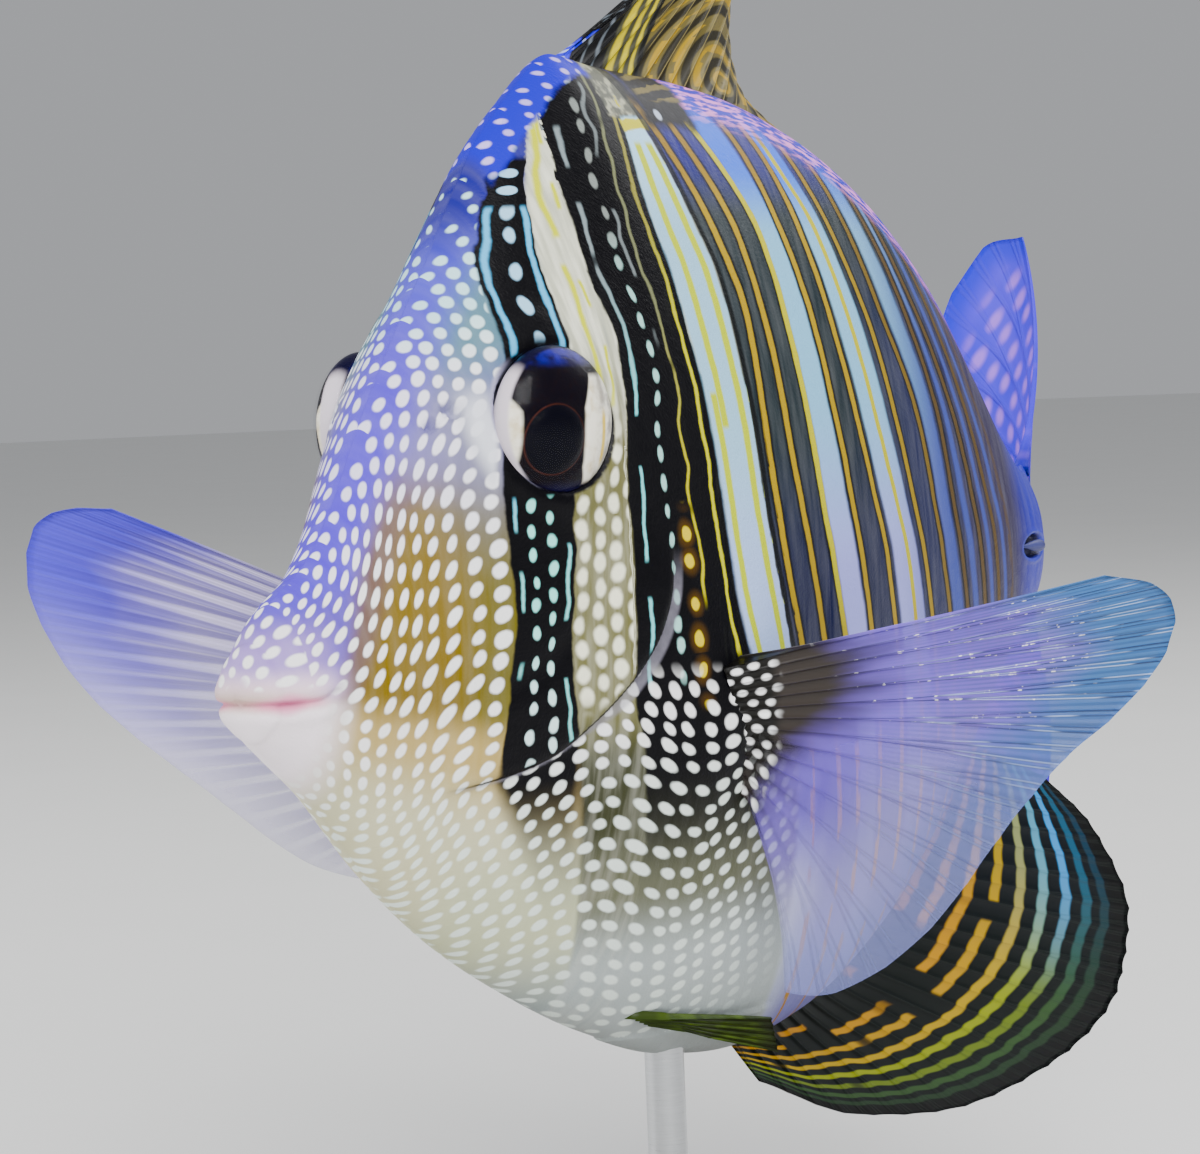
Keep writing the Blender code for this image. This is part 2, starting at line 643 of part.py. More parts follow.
def stand_base(look):
    """A flat plate with round corners, a softened edge and a blind hole for the rod."""
    width, length, height = BASE_SIZE
    outline = []
    for corner, (sx, sy) in enumerate(((1, 1), (-1, 1), (-1, -1), (1, -1))):
        cx, cy = sx * (width / 2 - BASE_CORNER), sy * (length / 2 - BASE_CORNER)
        for k in range(CORNER_STEPS + 1):
            angle = math.pi / 2 * (corner + k / CORNER_STEPS)
            outline.append((cx + BASE_CORNER * math.cos(angle), cy + BASE_CORNER * math.sin(angle)))
    rows = []
    half_bevel = BASE_BEVEL / 2
    for inset, z in ((half_bevel, 0), (0, half_bevel), (0, height - BASE_BEVEL), (BASE_BEVEL, height)):
        shrink = (1 - 2 * inset / width, 1 - 2 * inset / length)
        rows.append([(x * shrink[0], y * shrink[1], z) for x, y in outline])
    plate = solid("stand_base", *skin_rings(rows), look, (0.0, BASE_MIDDLE, -FISH_LINE))
    top = height - FISH_LINE
    hole = upright("rod hole", ROD_RADIUS + GAP, top - ROD_IN_BASE - GAP, top + OVERRUN)
    apply_boolean(plate, "DIFFERENCE", [hole])
    return keep_largest(plate)


def stand_rod(look):
    bottom = BASE_SIZE[2] - FISH_LINE - ROD_IN_BASE
    return upright("stand_rod", ROD_RADIUS, bottom, along(BELLY, ROD_Y) + ROD_IN_BELLY, look)


def set_on_stand():
    """Parents every node to an empty that carries the fish's frame."""
    frame = bpy.data.objects.new("fish_frame", None)
    frame.location = (0.0, -BASE_MIDDLE * MM, FISH_LINE * MM)
    for node in bpy.context.scene.collection.objects:
        node.parent = frame
    bpy.context.scene.collection.objects.link(frame)


def build():
    for old in list(bpy.data.objects):
        bpy.data.objects.remove(old)
    spotted = material("spotted skin", (0.36, 0.36, 0.40), 0.45)
    striped = material("striped skin", (0.10, 0.12, 0.16), 0.45)
    pale = material("pale chin skin", (0.80, 0.76, 0.74), 0.5)
    part_the_body({"head": spotted, "lower_jaw": pale, "trunk": striped, "tail_base": striped})
    eyes = material("glossy eye", (0.02, 0.02, 0.05), 0.08)
    bone = material("white spine bone", (0.88, 0.88, 0.84), 0.35)
    membrane = material("clear lilac membrane", (0.48, 0.46, 0.72), 0.4)
    sail = material("striped fin membrane", (0.12, 0.13, 0.14), 0.4)
    violet = material("violet tail membrane", (0.16, 0.14, 0.62), 0.4)
    olive = material("olive fin membrane", (0.22, 0.24, 0.06), 0.45)
    for side, word in ((1, "left"), (-1, "right")):
        eye(side, f"eye_{word}", eyes)
        gill_cover(side, f"gill_cover_{word}", spotted)
        scalpel_spine(side, f"tail_spine_{word}", bone)
        pelvic_fin(side, f"pelvic_fin_{word}", olive)
    pectoral_fin(1, "pectoral_fin_left", membrane, **PECTORAL_LEFT)
    pectoral_fin(-1, "pectoral_fin_right", membrane, **PECTORAL_RIGHT)
    dorsal_fin(sail)
    anal_fin(sail)
    caudal_fin(violet)
    stand_base(material("dark walnut", (0.08, 0.045, 0.03), 0.4))
    stand_rod(material("brushed steel", (0.62, 0.62, 0.63), 0.3, 1.0))
    set_on_stand()


build()
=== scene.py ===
"""The looks of a life-size red sea sailfin tang on a display stand.

Shapes are worked out in millimetres in the fish's own frame: x to its left side, y from the tip of the
snout to the tail, z up from the line through the tail base. set_down() carries them into the part's frame in
metres. Markings are drawn by the materials from smooth fields that each mesh holds as attributes, such as
how far behind the first black bar a point lies.
"""

import math

import bpy
import numpy as np
from mathutils import Matrix, Vector


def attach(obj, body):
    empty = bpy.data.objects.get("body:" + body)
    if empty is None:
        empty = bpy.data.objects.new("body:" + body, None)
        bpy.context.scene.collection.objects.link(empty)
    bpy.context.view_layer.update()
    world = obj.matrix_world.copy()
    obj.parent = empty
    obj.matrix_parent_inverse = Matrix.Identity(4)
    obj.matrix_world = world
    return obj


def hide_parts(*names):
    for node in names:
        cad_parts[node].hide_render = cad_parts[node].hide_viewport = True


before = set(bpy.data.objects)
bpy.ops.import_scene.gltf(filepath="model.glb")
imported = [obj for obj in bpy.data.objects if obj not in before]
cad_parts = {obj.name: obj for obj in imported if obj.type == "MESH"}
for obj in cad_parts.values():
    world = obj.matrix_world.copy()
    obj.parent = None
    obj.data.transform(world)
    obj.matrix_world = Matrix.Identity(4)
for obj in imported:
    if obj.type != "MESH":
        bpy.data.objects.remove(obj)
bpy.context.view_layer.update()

MM = 0.001
FULL_TURN = 2 * math.pi

# Where the fish's own frame sits over the stand
FISH_LINE = 68.0
BASE_MIDDLE = 60.0

# Body, as curves along the fish: (y, value)
BODY_LENGTH = 120.0
BACK = [(0, -1.8), (1.4, 0.0), (3.8, 2.6), (8, 5.2), (11, 8.6), (15.5, 15.6), (21.5, 23.6), (28, 31.0),
        (35, 37.2), (41, 40.8), (51, 41.0), (62, 39.8), (74, 36.6), (85, 31.6), (94.5, 24.8), (102, 16.8),
        (107.5, 11.0), (113, 7.2), (117, 5.9), (120, 6.4)]
BELLY = [(0, -5.4), (1.4, -7.0), (3.8, -9.0), (8, -12.4), (14, -18.8), (21, -24.4), (30, -29.6), (40, -34.2),
         (50, -37.4), (60, -38.6), (70, -37.4), (82, -33.0), (92, -26.2), (100.5, -18.0), (107, -12.2),
         (113, -8.8), (117, -7.6), (120, -8.2)]
HALF_WIDTH = [(0, 1.6), (1.4, 2.8), (3.8, 3.8), (8, 4.9), (14, 6.4), (22, 8.2), (31, 10.2), (41, 11.8),
              (51, 12.2), (64, 11.4), (78, 9.2), (90, 6.9), (102, 4.6), (112, 3.0), (117, 2.3), (120, 1.6)]
WIDEST = [(0, -3.6), (8, -3.4), (20, 2.0), (30, 3.0), (44, -2.0), (70, -1.0), (120, -0.9)]
FULLNESS = 0.6
NAPE_CREST = [(24, 0.0), (28, 1.2), (31, 1.9), (40, 1.7), (46, 0.7), (52, 0.0)]
SWELLINGS = [(26.4, 14.4, 6.2, 1.5), (15.0, 4.0, 4.5, -0.5), (44.0, -9.0, 6.0, 0.5)]  # y, z, spread, height
TURN_START, TURN_END, TURN_GROWTH = 96.0, math.radians(22), 1.6

# Head features
MOUTH_LINE = [(0.0, -4.2), (2.6, -4.3), (4.4, -4.2), (5.6, -3.7)]
NOSTRILS = [(19.2, 15.6, 0.62), (17.6, 14.6, 0.4)]  # y, z, radius
EYE_CENTRE = (8.9, 26.9, 14.4)
EYE_RADII = (3.0, 5.8, 5.8)
EYE_TURN = math.radians(9)
PUPIL = (1.9, 1.25)  # how far the pupil lies ahead of the eye's middle and below it
GILL_CREASE = [(15.5, -12.2), (20.5, -11.7), (25.4, -10.7), (30.3, -8.1), (33.9, -5.2), (36.6, -1.8),
               (37.9, 1.6), (38.2, 5.0)]
SPINE_CENTRE = (110.5, -0.9)
SPINE_RADII = (0.85, 3.1, 0.8)

# Edges and lines of the markings, front to back, each as (z, y). The first four edge the two black bars, the
# next one the pale bar, and the rest are the thin lines of the flank.
GUIDES = [
    [(-40, 36.0), (-23, 28.0), (-16, 23.6), (-10.5, 21.0), (-5, 21.6), (0, 22.0), (5.5, 21.7), (9.3, 21.2),
     (20.2, 24.2), (26.8, 26.0), (31.8, 29.0), (42, 37.5)],
    [(-40, 36.6), (-22, 31.4), (-14, 29.6), (-7.4, 28.1), (-1.8, 27.5), (4.4, 27.6), (8.7, 27.4), (20, 29.4),
     (26.6, 30.1), (31, 31.2), (36, 33.9), (42, 37.6)],
    [(-40, 41.0), (-24, 37.2), (-12, 35.4), (-3.8, 33.5), (1.8, 33.6), (8.1, 33.4), (11.5, 33.3), (16, 34.5),
     (20, 34.8), (26.5, 33.9), (31.3, 34.3), (36, 35.2), (42, 38.0)],
    [(-40, 52.0), (-24, 49.5), (-16, 48.2), (-6, 47.0), (2, 45.7), (14, 44.8), (24, 43.7), (31, 42.9),
     (37, 43.9), (42, 45.0)],
    [(-40, 61.0), (-20, 56.6), (-6, 53.5), (0, 52.0), (7, 50.8), (12, 50.5), (20, 49.9), (25, 49.5),
     (30, 48.1), (36.1, 46.7), (42, 45.4)],
    [(-40, 64.0), (-20, 59.0), (-6, 55.4), (2, 53.3), (12, 52.2), (21, 52.4), (28, 51.0), (36, 48.1),
     (42, 46.0)],
    [(-40, 68.5), (-20, 63.5), (-6, 59.4), (2, 57.4), (12, 55.6), (20, 55.1), (28, 54.1), (36, 51.0),
     (42, 48.5)],
    [(-40, 72.0), (-20, 67.0), (-6, 62.8), (2, 60.8), (12, 59.4), (20, 58.6), (28, 57.7), (36, 53.9),
     (42, 50.5)],
    [(-40, 77.0), (-20, 71.6), (-6, 67.8), (2, 66.0), (12, 64.2), (22, 62.8), (30, 61.2), (35, 59.8),
     (42, 56.5)],
    [(-40, 82.0), (-20, 76.6), (-6, 73.0), (2, 71.1), (12, 68.2), (20, 66.5), (29, 64.8), (34, 63.5),
     (42, 60.0)],
    [(-40, 87.0), (-20, 81.6), (-6, 77.8), (2, 75.8), (12, 72.3), (20, 70.2), (29, 67.7), (33, 65.6),
     (42, 62.0)],
    [(-40, 91.0), (-20, 85.6), (-6, 81.8), (2, 79.6), (12, 76.7), (20, 74.4), (29, 71.0), (33, 69.3),
     (42, 65.0)],
    [(-40, 95.0), (-20, 90.0), (-6, 86.4), (0, 84.6), (13, 81.6), (21, 77.6), (31, 74.1), (42, 69.0)],
    [(-40, 98.5), (-20, 94.2), (-6, 91.0), (1, 89.2), (13, 86.8), (21, 83.6), (28, 80.6), (42, 74.0)],
    [(-40, 102.0), (-20, 98.0), (-6, 95.6), (0, 94.6), (11, 91.5), (17, 88.8), (25, 84.6), (42, 78.0)],
    [(-30, 103.0), (-6, 99.4), (0, 98.6), (10, 95.6), (18, 92.2), (30, 86.0)],
    [(-30, 106.5), (-6, 103.0), (0, 102.4), (8, 100.4), (16, 96.4), (30, 90.0)],
    [(-30, 124.0), (-6, 120.5), (0, 120.0), (8, 119.0), (16, 117.0), (30, 112.0)],
]

# Fins, as in the solids, drawn finer here
DORSAL_BASE = (38.0, 98.0)
DORSAL_RAYS = 31
DORSAL_SPINES = 4
DORSAL_CURL = 0.9
DORSAL_LENGTH = [(0.0, 14.0), (0.12, 25.0), (0.24, 34.5), (0.38, 36.5), (0.57, 34.5), (0.71, 33.0),
                 (1.0, 20.0)]
DORSAL_RISE = [(0.0, 23.0), (0.12, 27.0), (0.22, 31.0), (0.33, 33.0), (0.43, 25.0), (0.54, 15.0),
               (0.71, 10.0), (1.0, 9.0)]
DORSAL_TURN = [(0.0, 2.0), (0.16, 8.0), (0.33, 19.0), (0.43, 37.0), (0.54, 54.0), (0.76, 60.0), (1.0, 48.0)]
ANAL_BASE = (60.0, 100.0)
ANAL_RAYS = 26
ANAL_SPINES = 3
# The anal fin's margin from front to rear, as (y, z, x)
ANAL_MARGIN = [(65.0, -42.6, 0.0), (80.0, -48.2, 0.5), (97.0, -50.4, 1.5), (112.0, -48.4, 3.0),
               (121.5, -43.4, 4.0), (124.0, -36.6, 4.0), (119.5, -28.2, 3.0), (112.0, -22.4, 2.0)]
CAUDAL_RAYS = 16
CAUDAL_INSET = 0.4
CAUDAL_LENGTH = [(0.0, 27.0), (0.6, 27.9), (0.74, 29.8), (0.87, 30.8), (1.0, 27.6)]
CAUDAL_SPREAD = 52.0
CAUDAL_TURN = (26.0, 58.0)
CAUDAL_CUP = 3.0
CAUDAL_CURL = 1.4
PECTORAL_RAYS = 15
PECTORAL_BASE = [(43.6, -5.2), (47.2, -14.8)]
PECTORAL_LEFT = dict(
    back=50.0, twist=26.0, cup=1.4,
    lengths=[(0.0, 32.4), (0.07, 36.5), (0.14, 38.5), (0.21, 39.3), (0.29, 38.9), (0.36, 37.3), (0.43, 34.6),
             (0.5, 31.3), (0.64, 27.2), (0.79, 24.4), (0.93, 20.6), (1.0, 17.6)],
    rises=[(0.0, 8.9), (0.14, 6.0), (0.29, 1.2), (0.43, -5.6), (0.57, -15.4), (0.71, -29.8), (0.86, -51.8),
           (1.0, -77.4)])
PECTORAL_RIGHT = dict(
    back=-34.0, twist=0.0, cup=-1.2,
    lengths=[(0.0, 31.6), (0.07, 34.6), (0.14, 36.8), (0.21, 38.2), (0.29, 38.6), (0.36, 38.2), (0.43, 36.8),
             (0.5, 34.8), (0.64, 29.3), (0.79, 23.1), (0.93, 18.4), (1.0, 15.4)],
    rises=[(0.0, 24.9), (0.14, 23.2), (0.29, 19.2), (0.43, 12.8), (0.57, 5.1), (0.71, -3.0), (0.86, -16.0),
           (1.0, -32.0)])
PELVIC_RAYS = 6
PELVIC_BASE = [(41.6, -32.8), (44.6, -34.0)]
PELVIC_TIP = [(57.0, -35.4, 6.6), (60.0, -38.8, 5.2)]  # y, z, x
PELVIC_CLEAR = 1.2
ARC_CENTRE = (12.65, 5.0)  # of the dorsal fin's nested arcs: ray, and millimetres along it
ARC_PITCH = 1.85
RAY_STEPS = 40
RAY_FILL = 8  # columns of the mesh from one ray to the next
ROOT_SUNK = 1.0  # how deep the root of a fin on the back or belly lies in the skin
PAIRED_ROOT_SUNK = 0.4

# Stand
BASE_SIZE = (58.0, 92.0, 6.0)
BASE_CORNER = 14.0
ROD_Y = 51.0
ROD_RADIUS = 1.6
ROD_IN_BELLY = 4.0

# The camera, placed from the photograph in the fish's own frame
VIEW_AZIMUTH = math.radians(35.1)
VIEW_ELEVATION = math.radians(3.8)
VIEW_ROLL = math.radians(-2.4)
VIEW_DISTANCE = 332.0
VIEW_TARGET = (0.0, 55.0, 0.0)
VIEW_OFFSET = (-5.9, 0.6)  # of the picture's middle from the target, across and up
LENS = 122.8
SENSOR = 36.0


# Curves and the body's shape

def along(points, at):
    """Values of a smooth curve through (place, value) points, with no overshoot between them."""
    xs = np.array([p[0] for p in points], float)
    vs = np.array([p[1] for p in points], float)
    slopes = np.diff(vs) / np.diff(xs)
    bends = np.zeros_like(vs)
    same = slopes[:-1] * slopes[1:] > 0
    total = np.where(same, slopes[:-1] + slopes[1:], 1.0)
    bends[1:-1] = np.where(same, 2 * slopes[:-1] * slopes[1:] / total, 0.0)
    bends[0], bends[-1] = slopes[0], slopes[-1]
    at = np.clip(at, xs[0], xs[-1])
    i = np.clip(np.searchsorted(xs, at, side="right") - 1, 0, len(xs) - 2)
    step = xs[i + 1] - xs[i]
    t = (at - xs[i]) / step
    start = (1 + 2 * t) * (1 - t) ** 2 * vs[i] + t * (1 - t) ** 2 * step * bends[i]
    return start + t * t * (3 - 2 * t) * vs[i + 1] + t * t * (t - 1) * step * bends[i + 1]


def rise(value, low, high):
    """0 below low, 1 above high and a smooth step between them."""
    t = np.clip((value - low) / (high - low), 0, 1)
    return t * t * (3 - 2 * t)


def bell(distance, spread):
    return np.exp(-((distance / spread) ** 2))


def side_width(y, z):
    """Distance of the body's side from its middle plane."""
    middle, top, bottom = along(WIDEST, y), along(BACK, y), along(BELLY, y)
    edge = np.where(z > middle, top, bottom)
    share = np.minimum(np.abs((z - middle) / (edge - middle)), 1.0)
    lens = (1 - share**2) ** FULLNESS
    fade = np.minimum(1.0, 3 * (1 - share))
    lumps = sum(h * np.exp(-((y - cy) ** 2 + (z - cz) ** 2) / (2 * s**2)) for cy, cz, s, h in SWELLINGS)
    return along(HALF_WIDTH, y) * lens + fade * lumps


def turn_at(y):
    share = np.maximum(0.0, (y - TURN_START) / (BODY_LENGTH - TURN_START))
    return TURN_END * share**TURN_GROWTH


def bend(points):
    """Carries points of the straight fish, any array ending in (x, y, z), round the turn of its tail."""
    points = np.array(points, float)
    ys = np.linspace(TURN_START, BODY_LENGTH + 10, 400)
    middles = (ys[1:] + ys[:-1]) / 2
    step = ys[1] - ys[0]
    across = np.concatenate([[0], np.cumsum(-step * np.sin(turn_at(middles)))])
    back = TURN_START + np.concatenate([[0], np.cumsum(step * np.cos(turn_at(middles)))])
    x, y = points[..., 0].copy(), points[..., 1].copy()
    turn = turn_at(y)
    bent = y > TURN_START
    points[..., 0] = np.where(bent, np.interp(y, ys, across) + x * np.cos(turn), x)
    points[..., 1] = np.where(bent, np.interp(y, ys, back) + x * np.sin(turn), y)
    return points


# Meshes

def set_down(points):
    """Points of the fish's frame in millimetres, in the part's frame in metres."""
    return (np.asarray(points, float) + (0.0, -BASE_MIDDLE, FISH_LINE)) * MM


def mesh_object(name, points, faces, look, attributes=None):
    """A smooth object from points of the fish's frame, with vector attributes for its material."""
    mesh = bpy.data.meshes.new(name)
    mesh.from_pydata(set_down(points).tolist(), [], faces)
    for key, values in (attributes or {}).items():
        layer = mesh.attributes.new(key, "FLOAT_VECTOR", "POINT")
        layer.data.foreach_set("vector", np.asarray(values, np.float32).ravel())
    mesh.shade_smooth()
    mesh.materials.append(look)
    made = bpy.data.objects.new(name, mesh)
    bpy.context.scene.collection.objects.link(made)
    return made


def grid_faces(rows, columns, wrap, start=0, flip=False):
    """Quads over a grid of points numbered row by row; wrap joins its last column to the first."""
    r, c = np.meshgrid(np.arange(rows - 1), np.arange(columns if wrap else columns - 1), indexing="ij")
    a = start + r * columns + c
    b = start + r * columns + (c + 1) % columns
    quads = np.stack([a, b, b + columns, a + columns], -1).reshape(-1, 4)
    return (quads[:, ::-1] if flip else quads).tolist()


def tube_faces(rows, around, flip, ends=2):
    """Quads round a tube, with a fan over its first end and, for two ends, one over its last. Each fan's
    middle is a point after the grid's own."""
    hub, last = rows * around, (rows - 1) * around
    fans = [[(k + 1) % around, k, hub] for k in range(around)]
    if ends == 2:
        fans += [[last + k, last + (k + 1) % around, hub + 1] for k in range(around)]
    return grid_faces(rows, around, True, flip=flip) + [fan[::-1] if flip else fan for fan in fans]


def settle(piece, slot, *nodes):
    """Gives a piece its body and the solids that it stands for. The slot is not used."""
    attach(piece, "root")
    if nodes:
        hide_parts(*nodes)


def grid_normals(grid, wrap):
    """Unit normals of a grid of points, along its own rows and columns."""
    ahead = np.gradient(grid, axis=0)
    if wrap:
        across = (np.roll(grid, -1, 1) - np.roll(grid, 1, 1)) / 2
    else:
        across = np.gradient(grid, axis=1)
    normals = np.cross(ahead, across)
    return normals / np.maximum(np.linalg.norm(normals, axis=-1, keepdims=True), 1e-9)


# The skin

def skin_stations():
    """Places along the body, closest together at the snout and on the head."""
    snout = np.linspace(0, 1, 14)[1:] ** 2 * 1.5
    head = np.arange(1.7, 45.0, 0.28)
    flank = np.arange(45.3, 124.0, 0.5)
    return np.concatenate([snout, head, flank])


def skin_shape(stations, sides):
    """The straight body's (stations, sides, 3) points, with a round tip and an end closed at the tail."""
    angles = FULL_TURN * np.arange(sides) / sides
    y = np.repeat(stations[:, None], sides, 1)
    inner = np.clip(y, 1.5, BODY_LENGTH)
    middle, top, bottom = along(WIDEST, inner), along(BACK, inner), along(BELLY, inner)
    lift = np.sin(angles)[None, :]
    reach = np.where(lift > 0, top - middle, middle - bottom)
    z = middle + reach * lift
    x = side_width(inner, z) * np.sign(np.round(np.cos(angles), 9))[None, :]
    z = z + along(NAPE_CREST, y) * np.maximum(lift, 0) ** 6
    tip = np.sqrt(np.clip(1 - (1 - np.clip(y / 1.5, 0, 1)) ** 2, 0, 1))
    closing = 1 - 0.5 * rise(y, BODY_LENGTH - 1, 124.0)
    thin = 1 - 0.72 * rise(y, BODY_LENGTH - 4, 124.0)
    return np.stack([x * tip * thin, y, middle + (z - middle) * tip * (0.25 + 0.75 * closing)], -1)


def crease_distance(y, z):
    """Signed distance from the rear edge of the gill cover: positive ahead of it, on the cover."""
    ys = np.array([p[0] for p in GILL_CREASE], float)
    zs = np.array([p[1] for p in GILL_CREASE], float)
    knots = np.linspace(0, 1, len(ys))
    fine = np.linspace(0, 1, 320)
    cy, cz = along(list(zip(knots, ys)), fine), along(list(zip(knots, zs)), fine)
    shape = y.shape
    y, z = y.ravel(), z.ravel()
    out = np.full(y.shape, 30.0)
    near = np.flatnonzero((y > 5) & (y < 60) & (z > -35) & (z < 22))
    gap = np.hypot(y[near, None] - cy, z[near, None] - cz)
    best = np.clip(gap.argmin(1), 1, len(cy) - 2)
    ty, tz = cy[best + 1] - cy[best - 1], cz[best + 1] - cz[best - 1]
    side = np.sign(ty * (z[near] - cz[best]) - tz * (y[near] - cy[best]))
    out[near] = gap.min(1) * np.where(side == 0, 1, side)
    return out.reshape(shape)


def eye_distance(y, z):
    return np.hypot(y - EYE_CENTRE[1], z - EYE_CENTRE[2])


def relief(y, z, crease):
    """Height of the finer forms over the plain body, in millimetres."""
    mouth = z - along(MOUTH_LINE, y)
    on_mouth = 1 - rise(y, 5.0, 6.6)
    lips = 0.2 * on_mouth * (bell(mouth - 0.9, 0.75) + 0.9 * bell(mouth + 0.9, 0.7))
    slit = -0.4 * on_mouth * bell(mouth, 0.24)
    fold = -0.18 * bell(np.hypot(y - 7.2, (z + 5.4) * 0.5), 0.8)
    eye = eye_distance(y, z)
    socket = -3.2 * (1 - rise(eye, 4.5, 5.25)) + 0.2 * bell(eye - 6.1, 0.7)
    length = rise(y, 15.5, 19.0) * (1 - rise(z, 1.0, 6.0))
    edge = rise(crease, -0.5, 0.5)
    cover = (edge * (0.16 + 0.4 * np.exp(-np.maximum(crease, 0) / 3.5)) - 0.16 * bell(crease, 1.6)) * length
    jaw = -0.16 * bell(np.abs(crease - 6.5) - 0.2, 0.9) * length
    pits = 0.0
    for ny, nz, radius in NOSTRILS:
        away = np.hypot(y - ny, z - nz)
        pits -= 0.9 * (1 - rise(away, radius * 0.6, radius * 1.1)) - 0.14 * bell(away - radius * 1.35, 0.3)
    brow = 0.3 * bell(z - EYE_CENTRE[2] - 7.4 + 0.10 * (y - 26.9) ** 2, 1.4) * bell(y - 26.9, 5.0)
    cheek = -0.16 * bell(np.hypot((y - 19.5) * 0.8, z - 9.4 - 0.6 * (y - 19.5)), 1.1)
    groove = np.hypot((y - SPINE_CENTRE[0]) / 3.9, (z - SPINE_CENTRE[1]) / 1.1)
    seat = -0.75 * (1 - rise(groove, 0.8, 1.08)) + 0.12 * bell(groove - 1.25, 0.2)
    pad_across = 0.55 * (y - 45.4) + 0.83 * (z + 10.0)
    pad_along = -0.83 * (y - 45.4) + 0.55 * (z + 10.0)
    pad = 0.7 * bell(np.hypot(pad_along / 4.2, pad_across / 6.6), 1.0)
    return lips + slit + fold + socket + cover + jaw + pits + brow + cheek + seat + pad


def stripe_field(y, z):
    """Place among the guides: 0 at the first, 1 at the second, and so on, in their own spacing between."""
    edges = [along(guide, z) for guide in GUIDES]
    value = np.minimum(y - edges[0], 0) / 6.0
    for near, far in zip(edges, edges[1:]):
        value = value + np.clip((y - near) / np.maximum(far - near, 0.05), 0, 1)
    return value


def stripe_spacing(y, z):
    """Millimetres from one guide to the next at this place."""
    edges = np.array([along(guide, z) for guide in GUIDES])
    index = np.clip((y[None] > edges).sum(0) - 1, 0, len(GUIDES) - 2)
    near = np.take_along_axis(edges, index[None], 0)[0]
    far = np.take_along_axis(edges, index[None] + 1, 0)[0]
    return np.maximum(far - near, 0.3)


def surface_lengths(grid, stations):
    """Lengths on the skin: along each line from the first bar, and up each ring from its widest place."""
    steps = np.linalg.norm(np.diff(grid, axis=0), axis=-1)
    run = np.concatenate([np.zeros((1, grid.shape[1])), np.cumsum(steps, 0)])
    start = int(np.searchsorted(stations, 23.0))
    run = run - run[start]
    sides = grid.shape[1]
    ring = np.linalg.norm(np.roll(grid, -1, 1) - grid, axis=-1)
    up = np.zeros(grid.shape[:2])
    quarter = sides // 4
    up[:, 1:quarter + 1] = np.cumsum(ring[:, :quarter], 1)
    left_down = np.cumsum(ring[:, ::-1][:, :quarter], 1)
    up[:, sides - quarter:] = -left_down[:, ::-1]
    half = sides // 2
    up[:, half - quarter:half] = np.cumsum(ring[:, half - quarter:half][:, ::-1], 1)[:, ::-1]
    up[:, half + 1:half + quarter + 1] = -np.cumsum(ring[:, half:half + quarter], 1)
    return run, up


def dot_lattice(y, z, run, up):
    """Lengths for the head's dots, which stand in columns along the first bar and closer at the snout."""
    lean = (along(GUIDES[0], z) - 23.0) * rise(y, 5.0, 16.0)
    slant = (along(GUIDES[0], z + 0.5) - along(GUIDES[0], z - 0.5)) * rise(y, 5.0, 16.0)
    slant *= 1 - rise(z, 8.0, 15.0)
    crowding = 0.8 + 0.16 * (1 - rise(y, 2.0, 15.0)) + 0.3 * rise(z, 12.0, 20.0)
    steps = np.diff(run, axis=0, prepend=run[:1])
    across = np.cumsum(steps * crowding, 0)
    across = across - across[np.abs(run[:, :1]).argmin()] - lean
    high = np.maximum(np.abs(up) - 9.0, 0)
    upward = np.sign(up) * (np.minimum(np.abs(up), 9.0) + high * np.where(up < 0, 1.25, 1.12))
    upward = upward * (1 + 0.18 * (1 - rise(y, 3.0, 15.0)) - 0.4 * (1 - rise(y, 0.5, 6.0)))
    return across, upward, slant


def linear(hex_colour):
    """A colour written as sRGB hex, as linear red, green and blue."""
    parts = [int(hex_colour[i:i + 2], 16) / 255 for i in (1, 3, 5)]
    return tuple(p / 12.92 if p <= 0.04045 else ((p + 0.055) / 1.055) ** 2.4 for p in parts)


def mixed(base, *layers):
    """Lays colours over a base one, each by the mask that comes after it, all as arrays."""
    base = np.array(linear(base)) if isinstance(base, str) else base
    for colour, mask in zip(layers[::2], layers[1::2]):
        colour = np.array(linear(colour)) if isinstance(colour, str) else colour
        base = base + (colour - base) * mask[..., None]
    return base


